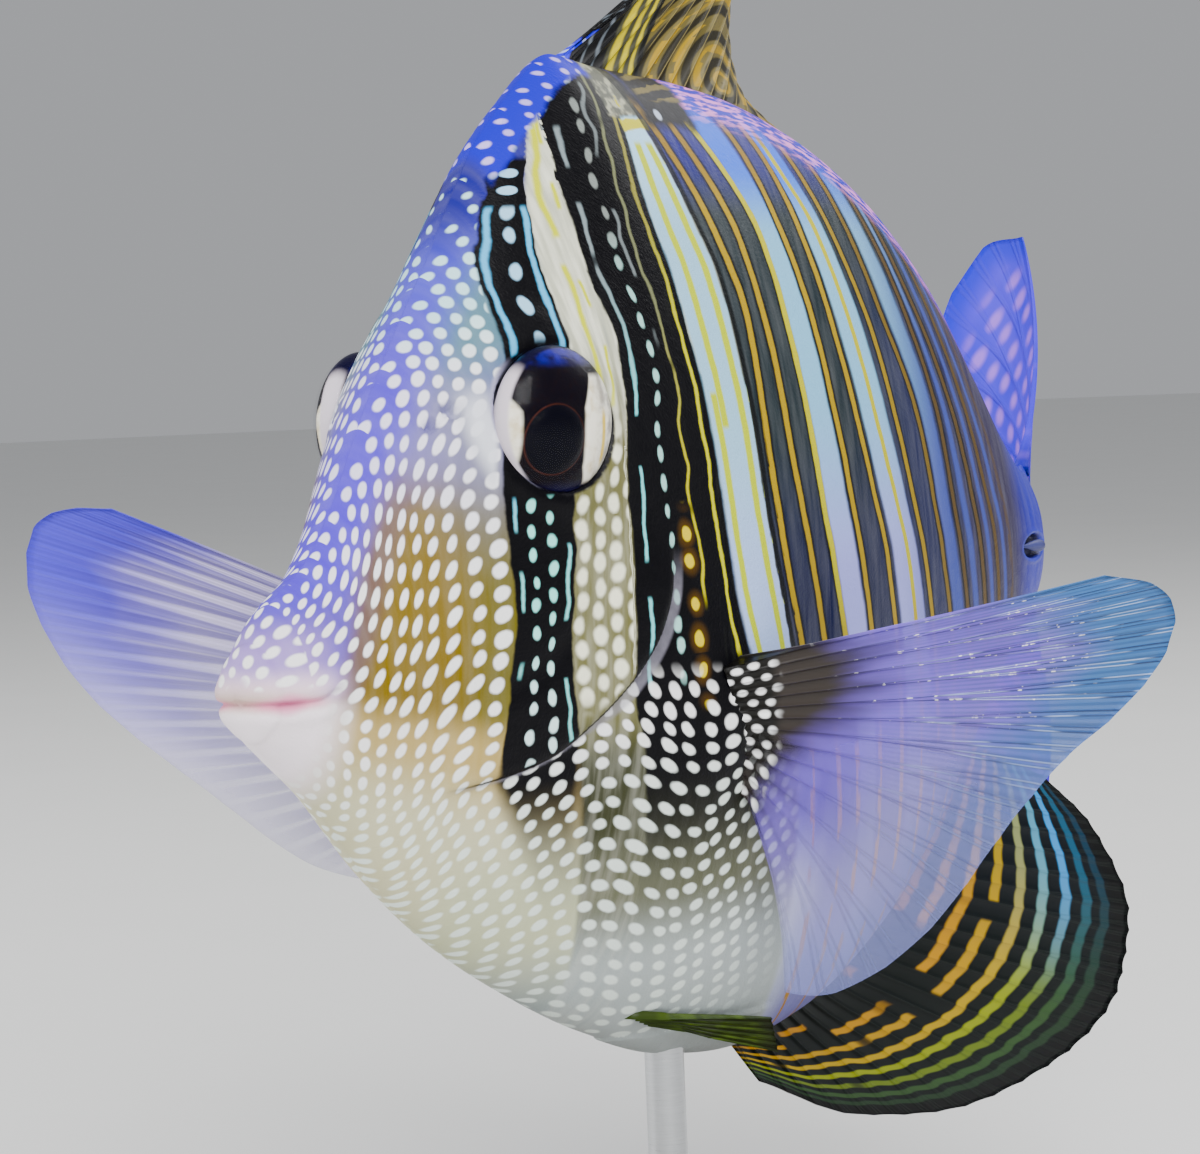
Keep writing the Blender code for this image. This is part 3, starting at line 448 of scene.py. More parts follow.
def ground_colour(y, z, stripe, depth):
    """The skin's colour between its dots, bars and lines; the violet-blue on the forehead and along the back
    is partly its own and partly painted blue light. depth is the distance below the back's edge.
    """
    forward = z - 1.86 * (y - 9.8) - 0.7
    chest = mixed(
        "#bcc09c",
        "#9ca8a8", 1 - rise(z, -32, -24),
        "#3c3e26", rise(y + 0.6 * (z + 14), 24, 31) * rise(z, -24, -17))
    head = mixed(
        "#745e06",
        "#5c5806", rise(stripe, -1.1, -0.1) * 0.8,
        # violet-blue on the forehead and along the back: partly the skin's own colour, partly painted blue
        # light
        "#6a5248", rise(forward, -2.6, 1.0),
        "#5c44b8", rise(forward, 1.4, 5.0),
        "#6656b8", rise(z, 8, 14) * rise(y, 11, 16),
        "#7c7c94", bell(np.hypot(y - 20.5, (z - 13.5) * 0.7), 4.2),
        "#4c7c84", rise(stripe, -1.1, -0.3) * rise(z, 15, 21) * 0.9,
        "#4418d8", (1 - rise(depth, 0.5, 4.0)) * rise(z, 0, 4) * 0.75,
        "#0c0478", rise(z, 25, 31) * 0.92,
        "#9c80cc", (1 - rise(y, 3, 8)) * (1 - rise(z, -0.8, 2.4)),
        "#f0d4e8", (1 - rise(y, 3, 8)) * (1 - rise(z, -3.4, -1.2)),
        "#b09858", 1 - rise(z + 0.22 * (y - 8), -7.0, -3.6),
        "#c6c29c", 1 - rise(z + 0.3 * (y - 8), -12.5, -6.5),
        "#fff2fa", (1 - rise(y, 4, 8.5)) * (1 - rise(z, -5.0, -4.0)),
        chest, (1 - rise(z + 0.1 * y, -19, -12)) * rise(y, 14, 22))
    between = mixed(
        "#66643a",
        "#b8baa4", rise(z, 12, 22),
        "#34361f", 1 - rise(z, -12, -7),
        "#5e604a", 1 - rise(z, -22, -16),
        "#a9b3b2", 1 - rise(z, -29, -22))
    flank = mixed(
        "#1a262b",
        "#10163a", 1 - rise(z, 0, 14),
        # deep blue along the top of the flank: partly its own colour, partly painted blue light
        "#040270", rise(z, 29, 35),
        "#121844", rise(y, 64, 84) * (1 - rise(z, 18, 30)),
        "#34328c", 1 - rise(z, -16, -4),
        "#7676bc", (1 - rise(z, -32, -18)) * (1 - 0.5 * rise(y, 70, 90)),
        "#2c2444", rise(y, 86, 97),
        "#0a06a8", rise(y, 103, 111),
        "#d0dae2", (1 - rise(z, -26, -17)) * (1 - rise(y, 56, 64)))
    return mixed(head, between, rise(stripe, 0.9, 1.05), flank, rise(stripe, 3.9, 4.05))


def make_skin(look, sides=440):
    stations = skin_stations()
    grid = skin_shape(stations, sides)
    y, z = grid[..., 1], grid[..., 2]
    crease = crease_distance(y, z)
    run, up = surface_lengths(grid, stations)
    across, upward, slant = dot_lattice(y, z, run, up)
    normals = grid_normals(grid, True)
    grid = grid + normals * relief(y, z, crease)[..., None]
    stripe = stripe_field(y, z)
    spacing = stripe_spacing(y, z)
    depth = along(BACK, y) - z
    side = np.sign(grid[..., 0])
    tip, end = grid[0].mean(0) - (0, 0.05, 0), grid[-1].mean(0)
    points = np.concatenate([bend(grid).reshape(-1, 3), bend([tip, end])])
    faces = tube_faces(len(stations), sides, True)

    def field(*parts):
        flat = np.stack([np.broadcast_to(p, y.shape) for p in parts], -1).reshape(-1, 3)
        return np.concatenate([flat, flat[:1], flat[-1:]])

    colour = ground_colour(y, z, stripe, depth)
    attributes = {
        "place": field(y, z, side),
        "marks": field(stripe, spacing, crease),
        "lengths": field(run, up, depth),
        "dots": field(across, upward, upward.max(1, keepdims=True)),
        "dot_slant": field(slant, 0.0, 0.0),
        "ground": field(*np.moveaxis(colour, -1, 0)),
    }
    skin = mesh_object("skin", points, faces, look, attributes)
    settle(skin, "striped_skin", "head", "lower_jaw", "trunk", "tail_base", "gill_cover_left",
           "gill_cover_right")


# Materials

class Field:
    """A socket of a material's nodes. Arithmetic on it adds the Math nodes that work it out."""

    def __init__(self, tree, socket):
        self.tree = tree
        self.socket = socket

    def maths(self, operation, *others):
        inputs = dict(enumerate((self,) + others))
        return add_node(self.tree, "ShaderNodeMath", {"operation": operation}, inputs)

    def __add__(self, other):
        return self.maths("ADD", other)

    def __sub__(self, other):
        return self.maths("SUBTRACT", other)

    def __rsub__(self, other):
        return (self * -1.0) + other

    def __mul__(self, other):
        return self.maths("MULTIPLY", other)

    def __truediv__(self, other):
        return self.maths("DIVIDE", other)

    __radd__ = __add__
    __rmul__ = __mul__

    def size(self):
        return self.maths("ABSOLUTE")

    def floor(self):
        return self.maths("FLOOR")

    def part(self):
        return self.maths("FRACT")

    def least(self, other):
        return self.maths("MINIMUM", other)

    def most(self, other):
        return self.maths("MAXIMUM", other)


def fill(tree, node, values):
    """Sets or links a node's own sockets. A tuple that holds fields goes in as one vector."""
    for key, value in values.items():
        if isinstance(value, tuple) and any(isinstance(part, Field) for part in value):
            value = add_node(tree, "ShaderNodeCombineXYZ", {}, dict(enumerate(value)))
        if isinstance(value, Field):
            tree.links.new(value.socket, node.inputs[key])
        else:
            node.inputs[key].default_value = value


def add_node(tree, kind, settings, inputs, output=0):
    """Adds one node with its settings and its values or links by socket, and returns one of its outputs."""
    node = tree.nodes.new(kind)
    for key, value in settings.items():
        setattr(node, key, value)
    fill(tree, node, inputs)
    return Field(tree, node.outputs[output])


def new_material(name):
    made = bpy.data.materials.new(name)
    made.use_nodes = True
    return made, made.node_tree


def finish(made, values, *reliefs):
    """Sets or links the shader's own sockets. Each relief is a height, its metres for 1 and its strength."""
    tree = made.node_tree
    for height, metres, strength in reliefs:
        inputs = {"Height": height, "Distance": metres, "Strength": strength}
        if "Normal" in values:
            inputs["Normal"] = values["Normal"]
        values["Normal"] = add_node(tree, "ShaderNodeBump", {}, inputs)
    fill(tree, tree.nodes["Principled BSDF"], values)
    return made


def mesh_field(tree, name):
    """The three numbers of an attribute of the mesh."""
    vector = add_node(tree, "ShaderNodeAttribute", {"attribute_name": name}, {}, "Vector")
    return [add_node(tree, "ShaderNodeSeparateXYZ", {}, {0: vector}, i) for i in range(3)]


def over(value, low, high, ends=(0.0, 1.0)):
    """A smooth step of a field, from 0 at low to 1 at high."""
    inputs = {0: value, 1: low, 2: high, 3: ends[0], 4: ends[1]}
    return add_node(value.tree, "ShaderNodeMapRange", {"interpolation_type": "SMOOTHSTEP"}, inputs)


def under(value, low, high):
    """A smooth step of a field, from 1 at low to 0 at high."""
    return over(value, low, high, (1.0, 0.0))


def span(value, low, high, soft):
    """1 between low and high, with soft edges."""
    return over(value, low - soft, low + soft) * under(value, high - soft, high + soft)


def distance(x, y):
    return (x * x + y * y).maths("SQRT")


def noise(tree, place, scale, detail=2.0, rough=0.5):
    """Smooth noise from -1 to 1, with scale in waves for each unit of place."""
    inputs = {"Vector": place, "Scale": scale, "Detail": detail, "Roughness": rough}
    return add_node(tree, "ShaderNodeTexNoise", {}, inputs, 0) * 2.0 - 1.0


def waves(size):
    """Waves per metre of a pattern whose forms are this wide in millimetres."""
    return 1 / (size * MM)


def chance(tree, x, y):
    """Three numbers from 0 to 1 for each pair of whole numbers."""
    colour = add_node(tree, "ShaderNodeTexWhiteNoise", {"noise_dimensions": "2D"}, {0: (x, y)}, 1)
    return [add_node(tree, "ShaderNodeSeparateXYZ", {}, {0: colour}, i) for i in range(3)]


def paint(base, *layers):
    """Lays colours over a base one, each by the mask that comes after it."""
    for colour, mask in zip(layers[::2], layers[1::2]):
        both = {6: base, 7: colour}
        inputs = {key: (*linear(part), 1.0) if isinstance(part, str) else part for key, part in both.items()}
        base = add_node(mask.tree, "ShaderNodeMix", {"data_type": "RGBA"}, {0: mask, **inputs}, 2)
    return base


def spots(tree, across, up, pitch, radius, jitter, stretch=1.0, soft=0.12, seed=0.0, limit=None, slant=0.0):
    """Staggered columns of round spots. Lengths are in millimetres; radius may be a field.

    Spots that would lie part over the limit, where a mirrored set begins, are left out. Slant is how far
    the columns lean, which the spots don't.
    """
    column = (across / pitch[0]).floor()
    shifted = up / pitch[1] + column * 0.5 + seed
    right, high, grow = chance(tree, column + seed, shifted.floor())
    dx = ((across / pitch[0]).part() - 0.5) * pitch[0] + (right - 0.5) * jitter
    dy = (shifted.part() - 0.5) * pitch[1] + (high - 0.5) * (0.6 * jitter)
    whole = 1.0 if limit is None else over(limit - up + dy, 0.52, 0.54)
    gap = distance(dx + dy * slant, dy / stretch)
    return under(gap - (grow * 0.25 + 0.86) * radius, -soft, soft) * whole


def spot_column(tree, offset, up, pitch, radius, stretch, seed, soft=0.1):
    """One column of spots; offset is the distance across from its middle line."""
    shifted = up / pitch + seed
    row = shifted.floor()
    right, high, grow = chance(tree, row, row * 0.0 + seed * 7.0)
    dx = offset + (right - 0.5) * (0.35 * radius)
    dy = ((shifted.part() - 0.5) * pitch + (high - 0.5) * (0.3 * pitch)) / stretch
    return under(distance(dx, dy) - (grow * 0.3 + 0.8) * radius, -soft, soft)


def skin_material():
    """Live fish skin: fine-grained and satin under a thin clear slime coat."""
    made, tree = new_material("satin spotted and striped fish skin")
    y, z, side = mesh_field(tree, "place")
    stripe, spacing, crease = mesh_field(tree, "marks")
    run, up, depth = mesh_field(tree, "lengths")
    across, upward, midline = mesh_field(tree, "dots")
    slant = mesh_field(tree, "dot_slant")[0]
    ground = add_node(tree, "ShaderNodeAttribute", {"attribute_name": "ground"}, {}, "Color")
    place = (y, z, side * 40.0)
    wave = noise(tree, place, 0.26, 1.0)
    small = noise(tree, place, 0.9, 2.0)
    streak = noise(tree, (y * 1.2, z * 0.16, side * 40.0), 1.0, 2.0)
    wavy = stripe + (wave * 0.5 + small * 0.14) / spacing
    straight = stripe + (wave * 0.16 + small * 0.08) / spacing

    def line(at, half, soft=0.13, field=wavy):
        """A line along the guides at this place among them, with its half width in millimetres."""
        return under((field - at).size() * spacing, half - soft, half + soft)

    def wander(seed, amount, waves=0.17):
        """A line's own sideways drift in millimetres, as the line runs down."""
        return noise(tree, (seed, z * waves, side * 9.0), 1.0, 1.5) * amount

    def runs(seed, share, waves=0.2):
        """Where a broken line is drawn: a larger share leaves fewer gaps."""
        drawn = noise(tree, (seed, z * waves, side * 5.0), 1.0, 0.0)
        return over(drawn, 0.5 - share, 0.58 - share)

    # Dots of the head, cheek and chest
    forehead = over(z, 8.0, 18.0)
    chest = under(z + y * 0.1, -10.0, -6.0)
    radius = 0.575 + forehead * 0.03 - chest * 0.07 - under(y, 3.0, 9.0) * 0.04 - over(z, 25.0, 31.0) * 0.24
    drift = small * 0.12
    dots = spots(tree, across + wave * 0.3, upward + drift, (1.86, 1.68), radius, 0.36, chest * 0.14 + 1.0,
                 0.13, limit=midline + drift, slant=slant)
    from_ahead = add_node(tree, "ShaderNodeTexCoord", {}, {}, "Object")
    tip_x, tip_z = (add_node(tree, "ShaderNodeSeparateXYZ", {}, {0: from_ahead}, i) / MM for i in (0, 2))
    tip_dots = spots(tree, tip_x, tip_z, (1.2, 1.35), 0.38, 0.2, 1.1, 0.1, 9.0)
    at_tip = under(y, 3.6, 3.8)
    dots = dots * (1.0 - at_tip) + tip_dots * at_tip
    ahead = under(stripe, -0.05, -0.01)
    low = under(crease, -0.35, -0.1) * under(z + y * 0.1, -3.0, -0.5) * under(stripe, 3.0, 4.3)
    ribbon = under(depth + small * 0.4, -0.1, 0.5) * span(y, 29.6, 43.0, 0.6)
    lip_free = over(y, 4.0, 7.5).most(over(z, -3.3, -2.9)) * over(y, 0.05, 0.2)
    belly_fade = over(z - y * 0.62, -72.0, -58.0)
    eye_gap = distance(y - EYE_CENTRE[1], z - EYE_CENTRE[2])
    bare = span(eye_gap, 5.0, 7.3, 0.8) * span(z, 8.5, 16.5, 1.6)
    bare = bare * under(stripe, -0.12, -0.02) * under(y, 21.0, 23.0)
    dot_colour = paint(
        "#ffffff",
        "#e9e6ff", over(z, 2.0, 12.0) * under(y, 12.0, 26.0),
        "#c4f0f6", over(z, 17.0, 24.0) * over(stripe, -1.6, -0.6),
        "#e6f2ea", under(z, -16.0, -8.0),
        "#cdb8ff", ribbon)

    # First black bar: an eye bar with pale blue borders and spots
    bar_edge = under(z, -18.0, -9.0) * 0.28 + 0.025
    bar_one = span(wavy, 0.0, 1.0, bar_edge) * under(z, 33.9, 34.5) * over(z, -25.0, -12.0)
    black = paint("#020205", "#08070b", small * 0.5 + 0.5)
    upper = over(z, 13.0, 16.0)
    lower = under(z, 8.6, 9.2) * over(crease, 0.1, 0.4)
    lined = under(z, 30.2, 30.7)
    front_border = line(0.13, upper * 0.06 + 0.14) * upper.most(lower * runs(3.0, 0.42)) * lined
    rear_border = line(0.88, upper * 0.06 + 0.16) * upper.most(lower * runs(4.0, 0.6)) * lined
    middle = (wavy - 0.52) * spacing
    ovals = spot_column(tree, middle, z, 2.5, 0.46, 1.5, 0.3) * over(z, 20.0, 21.0)
    wide_ovals = spot_column(tree, middle, z, 1.75, 0.85, 0.5, 0.5) * span(z, 30.65, 34.1, 0.05)
    pair = spot_column(tree, (wavy - 0.36) * spacing, z, 1.9, 0.38, 1.35, 0.1)
    pair = pair.most(spot_column(tree, (wavy - 0.64) * spacing, z, 1.9, 0.38, 1.45, 0.62))
    colour = paint(
        ground,
        "#ffffff", streak * 0.05 + 0.02,
        black, bar_one,
        paint("#4fb4e6", "#7fd8d6", under(z, 2.0, 14.0)), front_border.most(rear_border),
        "#9fd0ee", (ovals * lined).most(wide_ovals),
        paint("#8ff0e4", "#d5f4f4", under(z, -8.0, 2.0)), pair * lower)

    # Cream band between the bars
    cream = span(wavy, 1.0, 2.0, 0.025)
    high = over(z, 10.0, 18.0)
    cloudy = over(streak, -0.3, 0.4)
    drift = wander(21.0, 0.9) / spacing
    yellow_wave = line(1.46, 0.3, 0.2, wavy + drift) * runs(22.0, 0.72) * high
    yellow_wave = yellow_wave.most(line(1.74, 0.2, 0.15, wavy - drift) * runs(23.0, 0.5) * high)
    pale = spots(tree, (wavy - 1.0) * spacing, z, (1.75, 1.8), 0.56, 0.35, 1.2, 0.2, 3.0)
    colour = paint(
        colour,
        "#f7f7e2", cream * cloudy * (high * 0.6 + 0.1),
        "#6f7480", cream * high * under(streak, -0.7, -0.25) * 0.7,
        "#c8cc00", yellow_wave,
        "#f6f6da", cream * pale * under(z, 11.0, 16.0) * over(z, -8.0, -6.0) * over(crease, 0.2, 0.8))

    # Second black bar with grey and yellow lines
    bar_two = span(wavy, 2.0, 3.0, 0.02) * over(z, -25.0, -12.0)
    tone = paint(black, "#20221c", over(streak, 0.1, 0.7) * over(straight, 2.6, 2.8) * 0.6)
    first = line(2.13, 0.19, 0.12, wavy + wander(31.0, 0.7) / spacing) * runs(32.0, 0.66)
    spots_two = spot_column(tree, (wavy - 2.38) * spacing + wander(33.0, 0.4), z, 2.1, 0.36, 1.6, 0.2)
    third = line(2.64, 0.17, 0.12, wavy + wander(34.0, 0.9) / spacing) * runs(35.0, 0.8)
    fourth = line(2.88, 0.21, 0.12, wavy + wander(36.0, 0.3) / spacing)
    squiggle = line(2.5, 0.17, 0.12, wavy + wander(38.0, 1.1, 0.3) / spacing) * runs(39.0, 0.55)
    row_middle = (wavy - 2.54) * spacing
    halo = spot_column(tree, row_middle, z, 2.7, 0.95, 1.2, 0.5, 0.35)
    yellow_spots = spot_column(tree, row_middle, z, 2.7, 0.5, 1.2, 0.5)
    row = bar_two * span(z, -8.0, 7.0, 0.8)
    colour = paint(
        colour,
        tone, bar_two,
        paint("#7c8a8e", "#76d4d8", under(z, 14.0, 26.0)), first * bar_two * over(z, -7.0, -6.0),
        paint("#9fd4cc", "#7d8480", over(z, 22.0, 30.0)), spots_two * bar_two * over(z, -7.0, -5.0),
        paint("#bcb400", "#6f7350", over(z, 8.0, 24.0)), third * bar_two * over(z, -1.0, 1.0),
        paint("#c4c000", "#8a8430", over(z, 18.0, 32.0)), fourth * bar_two * over(z, -5.0, -4.0),
        "#6c7476", squiggle * bar_two * over(z, 19.0, 21.0),
        "#4a3208", halo * row * 0.8,
        "#d8c000", yellow_spots * row)

    # Pale bar with two lemon lines, the first broken off and set over once
    pale_bar = span(straight, 3.0, 4.0, 0.035) * over(z, -12.0, -4.0)
    bar_blue = paint("#94c2dc", "#a6beec", under(z, 0.0, 14.0), "#a8daf6", over(z, 28.0, 36.0))
    first_lemon = line(3.33, 0.44, field=straight) * over(z, 12.6, 13.2)
    set_over = line(3.18, 0.4, field=straight) * under(z, 15.4, 16.0)
    lemon = first_lemon.most(set_over).most(line(3.78, 0.44, field=straight))
    rim = depth + small * 0.4
    mottling = paint("#5a5c50", "#a8a890", over(small, -0.1, 0.2), "#bcb400", over(wave + small, 0.2, 0.35))
    colour = paint(
        colour,
        bar_blue, pale_bar,
        "#b8c400", lemon * over(z, -8.0, -6.0) * under(z, 35.0, 35.6),
        mottling, span(y + small * 0.5, 42.6, 47.0, 0.3) * under(rim, 3.3, 3.8),
        "#c4bc00", span(rim, 3.7, 4.6, 0.12) * span(y, 43.6, 47.2, 0.15))

    # Flank: pale blue bands and gold lines on dark slate
    band_blue = paint("#80c0e4", "#a4a8f0", under(z, 0.0, 16.0), "#2468f4", over(z, 27.0, 34.0),
                      "#3c4a9c", over(y, 72.0, 88.0))
    bands = span(straight, 7.08, 7.8, 0.06)
    for low_edge, high_edge in ((9.3, 10.55), (12.2, 12.75), (13.35, 13.62), (14.4, 14.62), (15.4, 15.6)):
        bands = bands.most(span(straight, low_edge, high_edge, 0.08))
    gold = paint("#a88a00", "#54401c", over(stripe, 10.0, 13.0), "#8c6c00", over(z, 29.0, 35.0),
                 "#b08000", under(z, -16.0, -4.0))
    gap = ((straight + 0.5).part() - 0.5).size() * spacing
    gold_lines = under(gap, 0.28, 0.52) * over(stripe, 4.5, 4.6) * under(stripe, 15.6, 16.4)
    broken = over(noise(tree, (straight.floor() * 3.7, z * 0.22, side * 5.0), 1.0, 0.0), -0.1, 0.1)
    whole = over(z, -13.0, -8.0).most(broken)
    beside = under(gap, 0.55, 0.95) * under(straight, 14.5, 15.5) * over(stripe, 4.02, 4.1) * 0.9
    bright = line(7.0, 0.42, field=straight).most(line(10.0, 0.42, field=straight))
    colour = paint(
        colour,
        band_blue, bands * (over(z, -17.0, -6.0) * 0.75 + 0.2) * over(stripe, 4.0, 4.2),
        "#040607", beside * (1.0 - bands) * over(z, -14.0, -4.0),
        gold, gold_lines * whole * over(depth, 1.6, 3.4),
        "#c0bc00", bright * over(z, -8.0, 0.0) * over(depth, 3.0, 5.0) * 0.85)

    # Crinkled violet sheath along the dorsal fin, its pink crinkles partly its own colour and partly painted
    # highlight, black with one pale spot at its front end
    crinkle_highlights = noise(tree, (y * 0.5 + depth * 1.4, depth * 2.2, side * 3.0), 1.0, 2.0)
    sheath = under(depth, 2.0, 4.2) * over(y, 50.0, 54.0) * under(y, 96.0, 102.0)
    saddle = under(rim + wave, 3.8, 4.8) * span(y + small, 47.4, 54.6, 0.9)
    arcs = ((depth + small * 0.3) * 0.9 + (y - 50.0) * 0.1).part()
    colour = paint(
        colour,
        # pink on the crinkles: partly the sheath's own colour, partly painted highlight
        paint("#1400c8", "#f890f4", over(crinkle_highlights, -0.12, 0.2)), sheath * 0.9,
        "#04040c", saddle,
        "#6c6030", saddle * under(rim, 2.0, 2.4) * under(arcs, 0.3, 0.45) * over(y, 48.0, 49.0),
        "#b8c4d8", under(distance(y - 49.6, depth - 3.4), 0.3, 0.55))

    # Violet ribbon over the nape, then the dots over all of it
    where = (ahead.most(low) * lip_free * (belly_fade * 0.9 + 0.05)).most(ribbon * 0.8)
    colour = paint(
        colour,
        "#1602c4", ribbon,
        dot_colour, dots * where * (1.0 - bare * 0.6),
        "#eef2fa", bare * 0.7)

    # Mouth, eye rim, gill opening and the grooves of the tail spines, with painted shadow along the gill
    # crease and painted shade in the grooves
    lip_gap = (z + 4.2).size()
    lip_half = span(y, 1.0, 2.8, 1.2) * 0.45 + 0.3
    lip_length = over(y, -0.4, 0.5) * under(y, 3.8, 5.4)
    open_gill = over(y, 16.0, 20.0) * under(z, 0.5, 4.5)
    flap = over(y, 28.0, 34.0) * 0.9 + 0.35
    membrane = under(crease, -0.2, 0.0) * over(crease + flap, -0.2, 0.2) * open_gill
    slot = distance((y - SPINE_CENTRE[0]) / 3.9, (z - SPINE_CENTRE[1]) / 1.15)
    colour = paint(
        colour,
        "#e88cb4", under(lip_gap - lip_half, -0.35, 0.35) * lip_length * 0.8,
        "#b04878", under(lip_gap, 0.05, 0.5) * span(y, 0.9, 3.0, 0.8) * 0.6,
        paint("#a8a6c4", "#07060d", over(y, 22.6, 24.6)), under(eye_gap, 5.3, 5.6),
        "#8d8a98", membrane * (small * 0.25 + 0.5),
        # painted shadow: a black line along the gill crease
        "#0a0806", span(crease, -0.12, 0.1, 0.1) * open_gill * 0.95,
        "#2c3cc0", span(slot, 1.0, 1.25, 0.08) * 0.5,
        # painted shade: dark navy in the groove round each tail spine
        "#0c0a44", under(slot, 0.9, 1.02))

    # Fine scales and slime
    grained = (run, up, side * 8.0)
    scales = add_node(tree, "ShaderNodeTexVoronoi", {"feature": "DISTANCE_TO_EDGE"},
                      {"Vector": grained, "Scale": 2.6, "Randomness": 0.75}, 0)
    grain = noise(tree, grained, 3.5, 3.0, 0.6)
    values = {"Base Color": colour, "Roughness": grain * 0.05 + 0.42 - dots * 0.04, "Coat Weight": 0.03,
              "Coat Roughness": 0.2, "Specular IOR Level": 0.08}
    return finish(made, values, (scales, 0.00005, 0.4), (grain + dots * 0.4, 0.00005, 0.4))


def fin_fields(tree, fork, width=1.0, split=0.7):
    """A fin's own measures: number of the ray, share and millimetres along it, mask of the rays, which fork
    towards the margin, and place between two rays, from 0 on a ray to 0.5."""
    ray, share, length = mesh_field(tree, "fin")
    middle = 0.5 - (ray.part() - 0.5).size()
    first_fork = over(share, fork, 0.95) * 0.24
    second_fork = over(share, split, split + 0.35) * 0.07
    gap = ((middle - first_fork).size() - second_fork).size()
    lines = under(gap, 0.02 * width, 0.07 * width)
    return ray, share, length, lines, middle


def thick_fin(made, colour, roughness, alpha, height, depth, strength=0.6):
    """Wet fin skin over ridged rays, satin and nearly opaque."""
    values = {"Base Color": colour, "Roughness": roughness, "Alpha": alpha, "Coat Weight": 0.03,
              "Coat Roughness": 0.25, "Specular IOR Level": 0.08}
    return finish(made, values, (height, depth, strength))


def pectoral_material(name, tones, cover, ray_reach):
    """Clear fin skin over fine forked rays, its tones from root to tip. The denser fin has a fleshy root."""
    made, tree = new_material(name)
    fleshy = cover > 0.5
    ray, share, length, lines, middle = fin_fields(tree, 0.1, 0.5 if fleshy else 2.3, 0.4)
    tone = noise(tree, (ray * 0.7, length * 0.12), 1.0, 2.0)
    low_rays = over(ray, 4.0, 11.0)
    at = share + low_rays * 0.14
    tip = over(share + tone * 0.12, 0.6, 0.86)
    drawn = lines * under(share, ray_reach, ray_reach + 0.3) * (1.0 - low_rays * 0.5)
    stripes = under(((ray * 5.0).part() - 0.5).size(), 0.14, 0.3) * over(share, 0.2, 0.6) * (1.0 - low_rays)
    alpha = tip * 0.3 * (1.0 - low_rays * 0.7) + cover - low_rays * cover * 0.6 + drawn * 0.4 + stripes * 0.15
    colour = paint(
        tones[0],
        tones[1], over(at + tone * 0.08, 0.2, 0.44),
        "#a9a2e4" if fleshy else "#e4dcff", low_rays * over(share, 0.3, 0.6),
        tones[2], tip * (1.0 - low_rays * (0.6 if fleshy else 0.85)))
    if fleshy:
        glints = over(noise(tree, (ray * 2.2, length * 0.16), 1.0, 1.0), -0.1, 0.2)
        glints = glints * over(share, 0.3, 0.6) * (1.0 - low_rays * 0.8)
        ray_colour = paint("#1f1828", "#20264c", over(share, 0.2, 0.4), "#b4c8f4", glints)
        fleck = noise(tree, (ray * 3.0, length * 1.3), 1.0, 2.0)
        glitter = over(fleck, 0.18, 0.36) * lines * span(share, 0.28, 0.8, 0.1) * under(ray, 4.5, 7.0)
        root = under(length + ray * 0.1 + tone, 3.4, 4.8)
        dots = spots(tree, ray * 1.1, length, (1.4, 1.6), 0.42, 0.4, 1.1, 0.14, 5.0)
        alpha = alpha + under(at, 0.18, 0.46) * 0.5
        colour = paint(
            colour,
            "#1c4478", stripes * 0.55,
            ray_colour, drawn * 0.75,
            "#ffffff", glitter,
            "#0b0906", root * under(ray, 8.0, 14.0),
            "#ffffff", dots * root)
    else:
        colour = paint(colour, paint("#2c1c5c", "#3c2c8c", over(share, 0.2, 0.4)), drawn * 0.75)
    height = under(middle, 0.0, 0.2) * 0.7 + lines * 0.6
    values = {"Base Color": colour, "Roughness": 0.36, "Alpha": alpha.least(1.0), "Specular IOR Level": 0.2,
              "Coat Weight": 0.05, "Coat Roughness": 0.2}
    return finish(made, values, (height, 0.00014, 0.6))


def anal_material():
    """Thick dark fin skin with lines that run along the margin, orange inside to pale teal outside."""
    made, tree = new_material("dark fin skin with margin lines")
    ray, share, _, lines, middle = fin_fields(tree, 0.5)
    rear = over(ray, 12.0, 21.0)
    ripple = (ray * 2.0 * math.pi).maths("SINE") * 0.005 * under(ray, 9.0, 15.0)
    at = share + ripple + noise(tree, (ray * 0.45, share * 3.0), 1.0, 1.0) * 0.02
    colour = paint("#030b09", "#040b12", rear, "#010203", over(share, 0.86, 0.95))
    tints = [(0.07, "#bc7c00", "#905808"), (0.18, "#c48600", "#a87400"), (0.29, "#c48c00", "#b48400"),
             (0.4, "#bc9000", "#a88c00"), (0.51, "#b89800", "#88905c"), (0.61, "#8c9800", "#4c98b8"),
             (0.71, "#647818", "#2c90d8"), (0.8, "#3c6030", "#1c6488"), (0.88, "#284428", "#103c54")]
    for number, (place, front_tint, rear_tint) in enumerate(tints):
        broken = noise(tree, (ray * 0.33, 7.0 * number + 2.0), 1.0, 0.0)
        whole = over(broken + rear * 0.5, 0.2 - 0.12 * number, 0.28 - 0.12 * number)
        mask = under((at - place).size(), 0.013, 0.027) * whole * (0.95 if number < 7 else 0.6)
        colour = paint(colour, paint(front_tint, rear_tint, rear), mask)
    colour = paint(colour, "#28342c", lines * 0.12)
    return thick_fin(made, colour, 0.4, 0.97, lines * 0.8 + under(middle, 0.0, 0.2) * 0.5, 0.00008, 0.5)


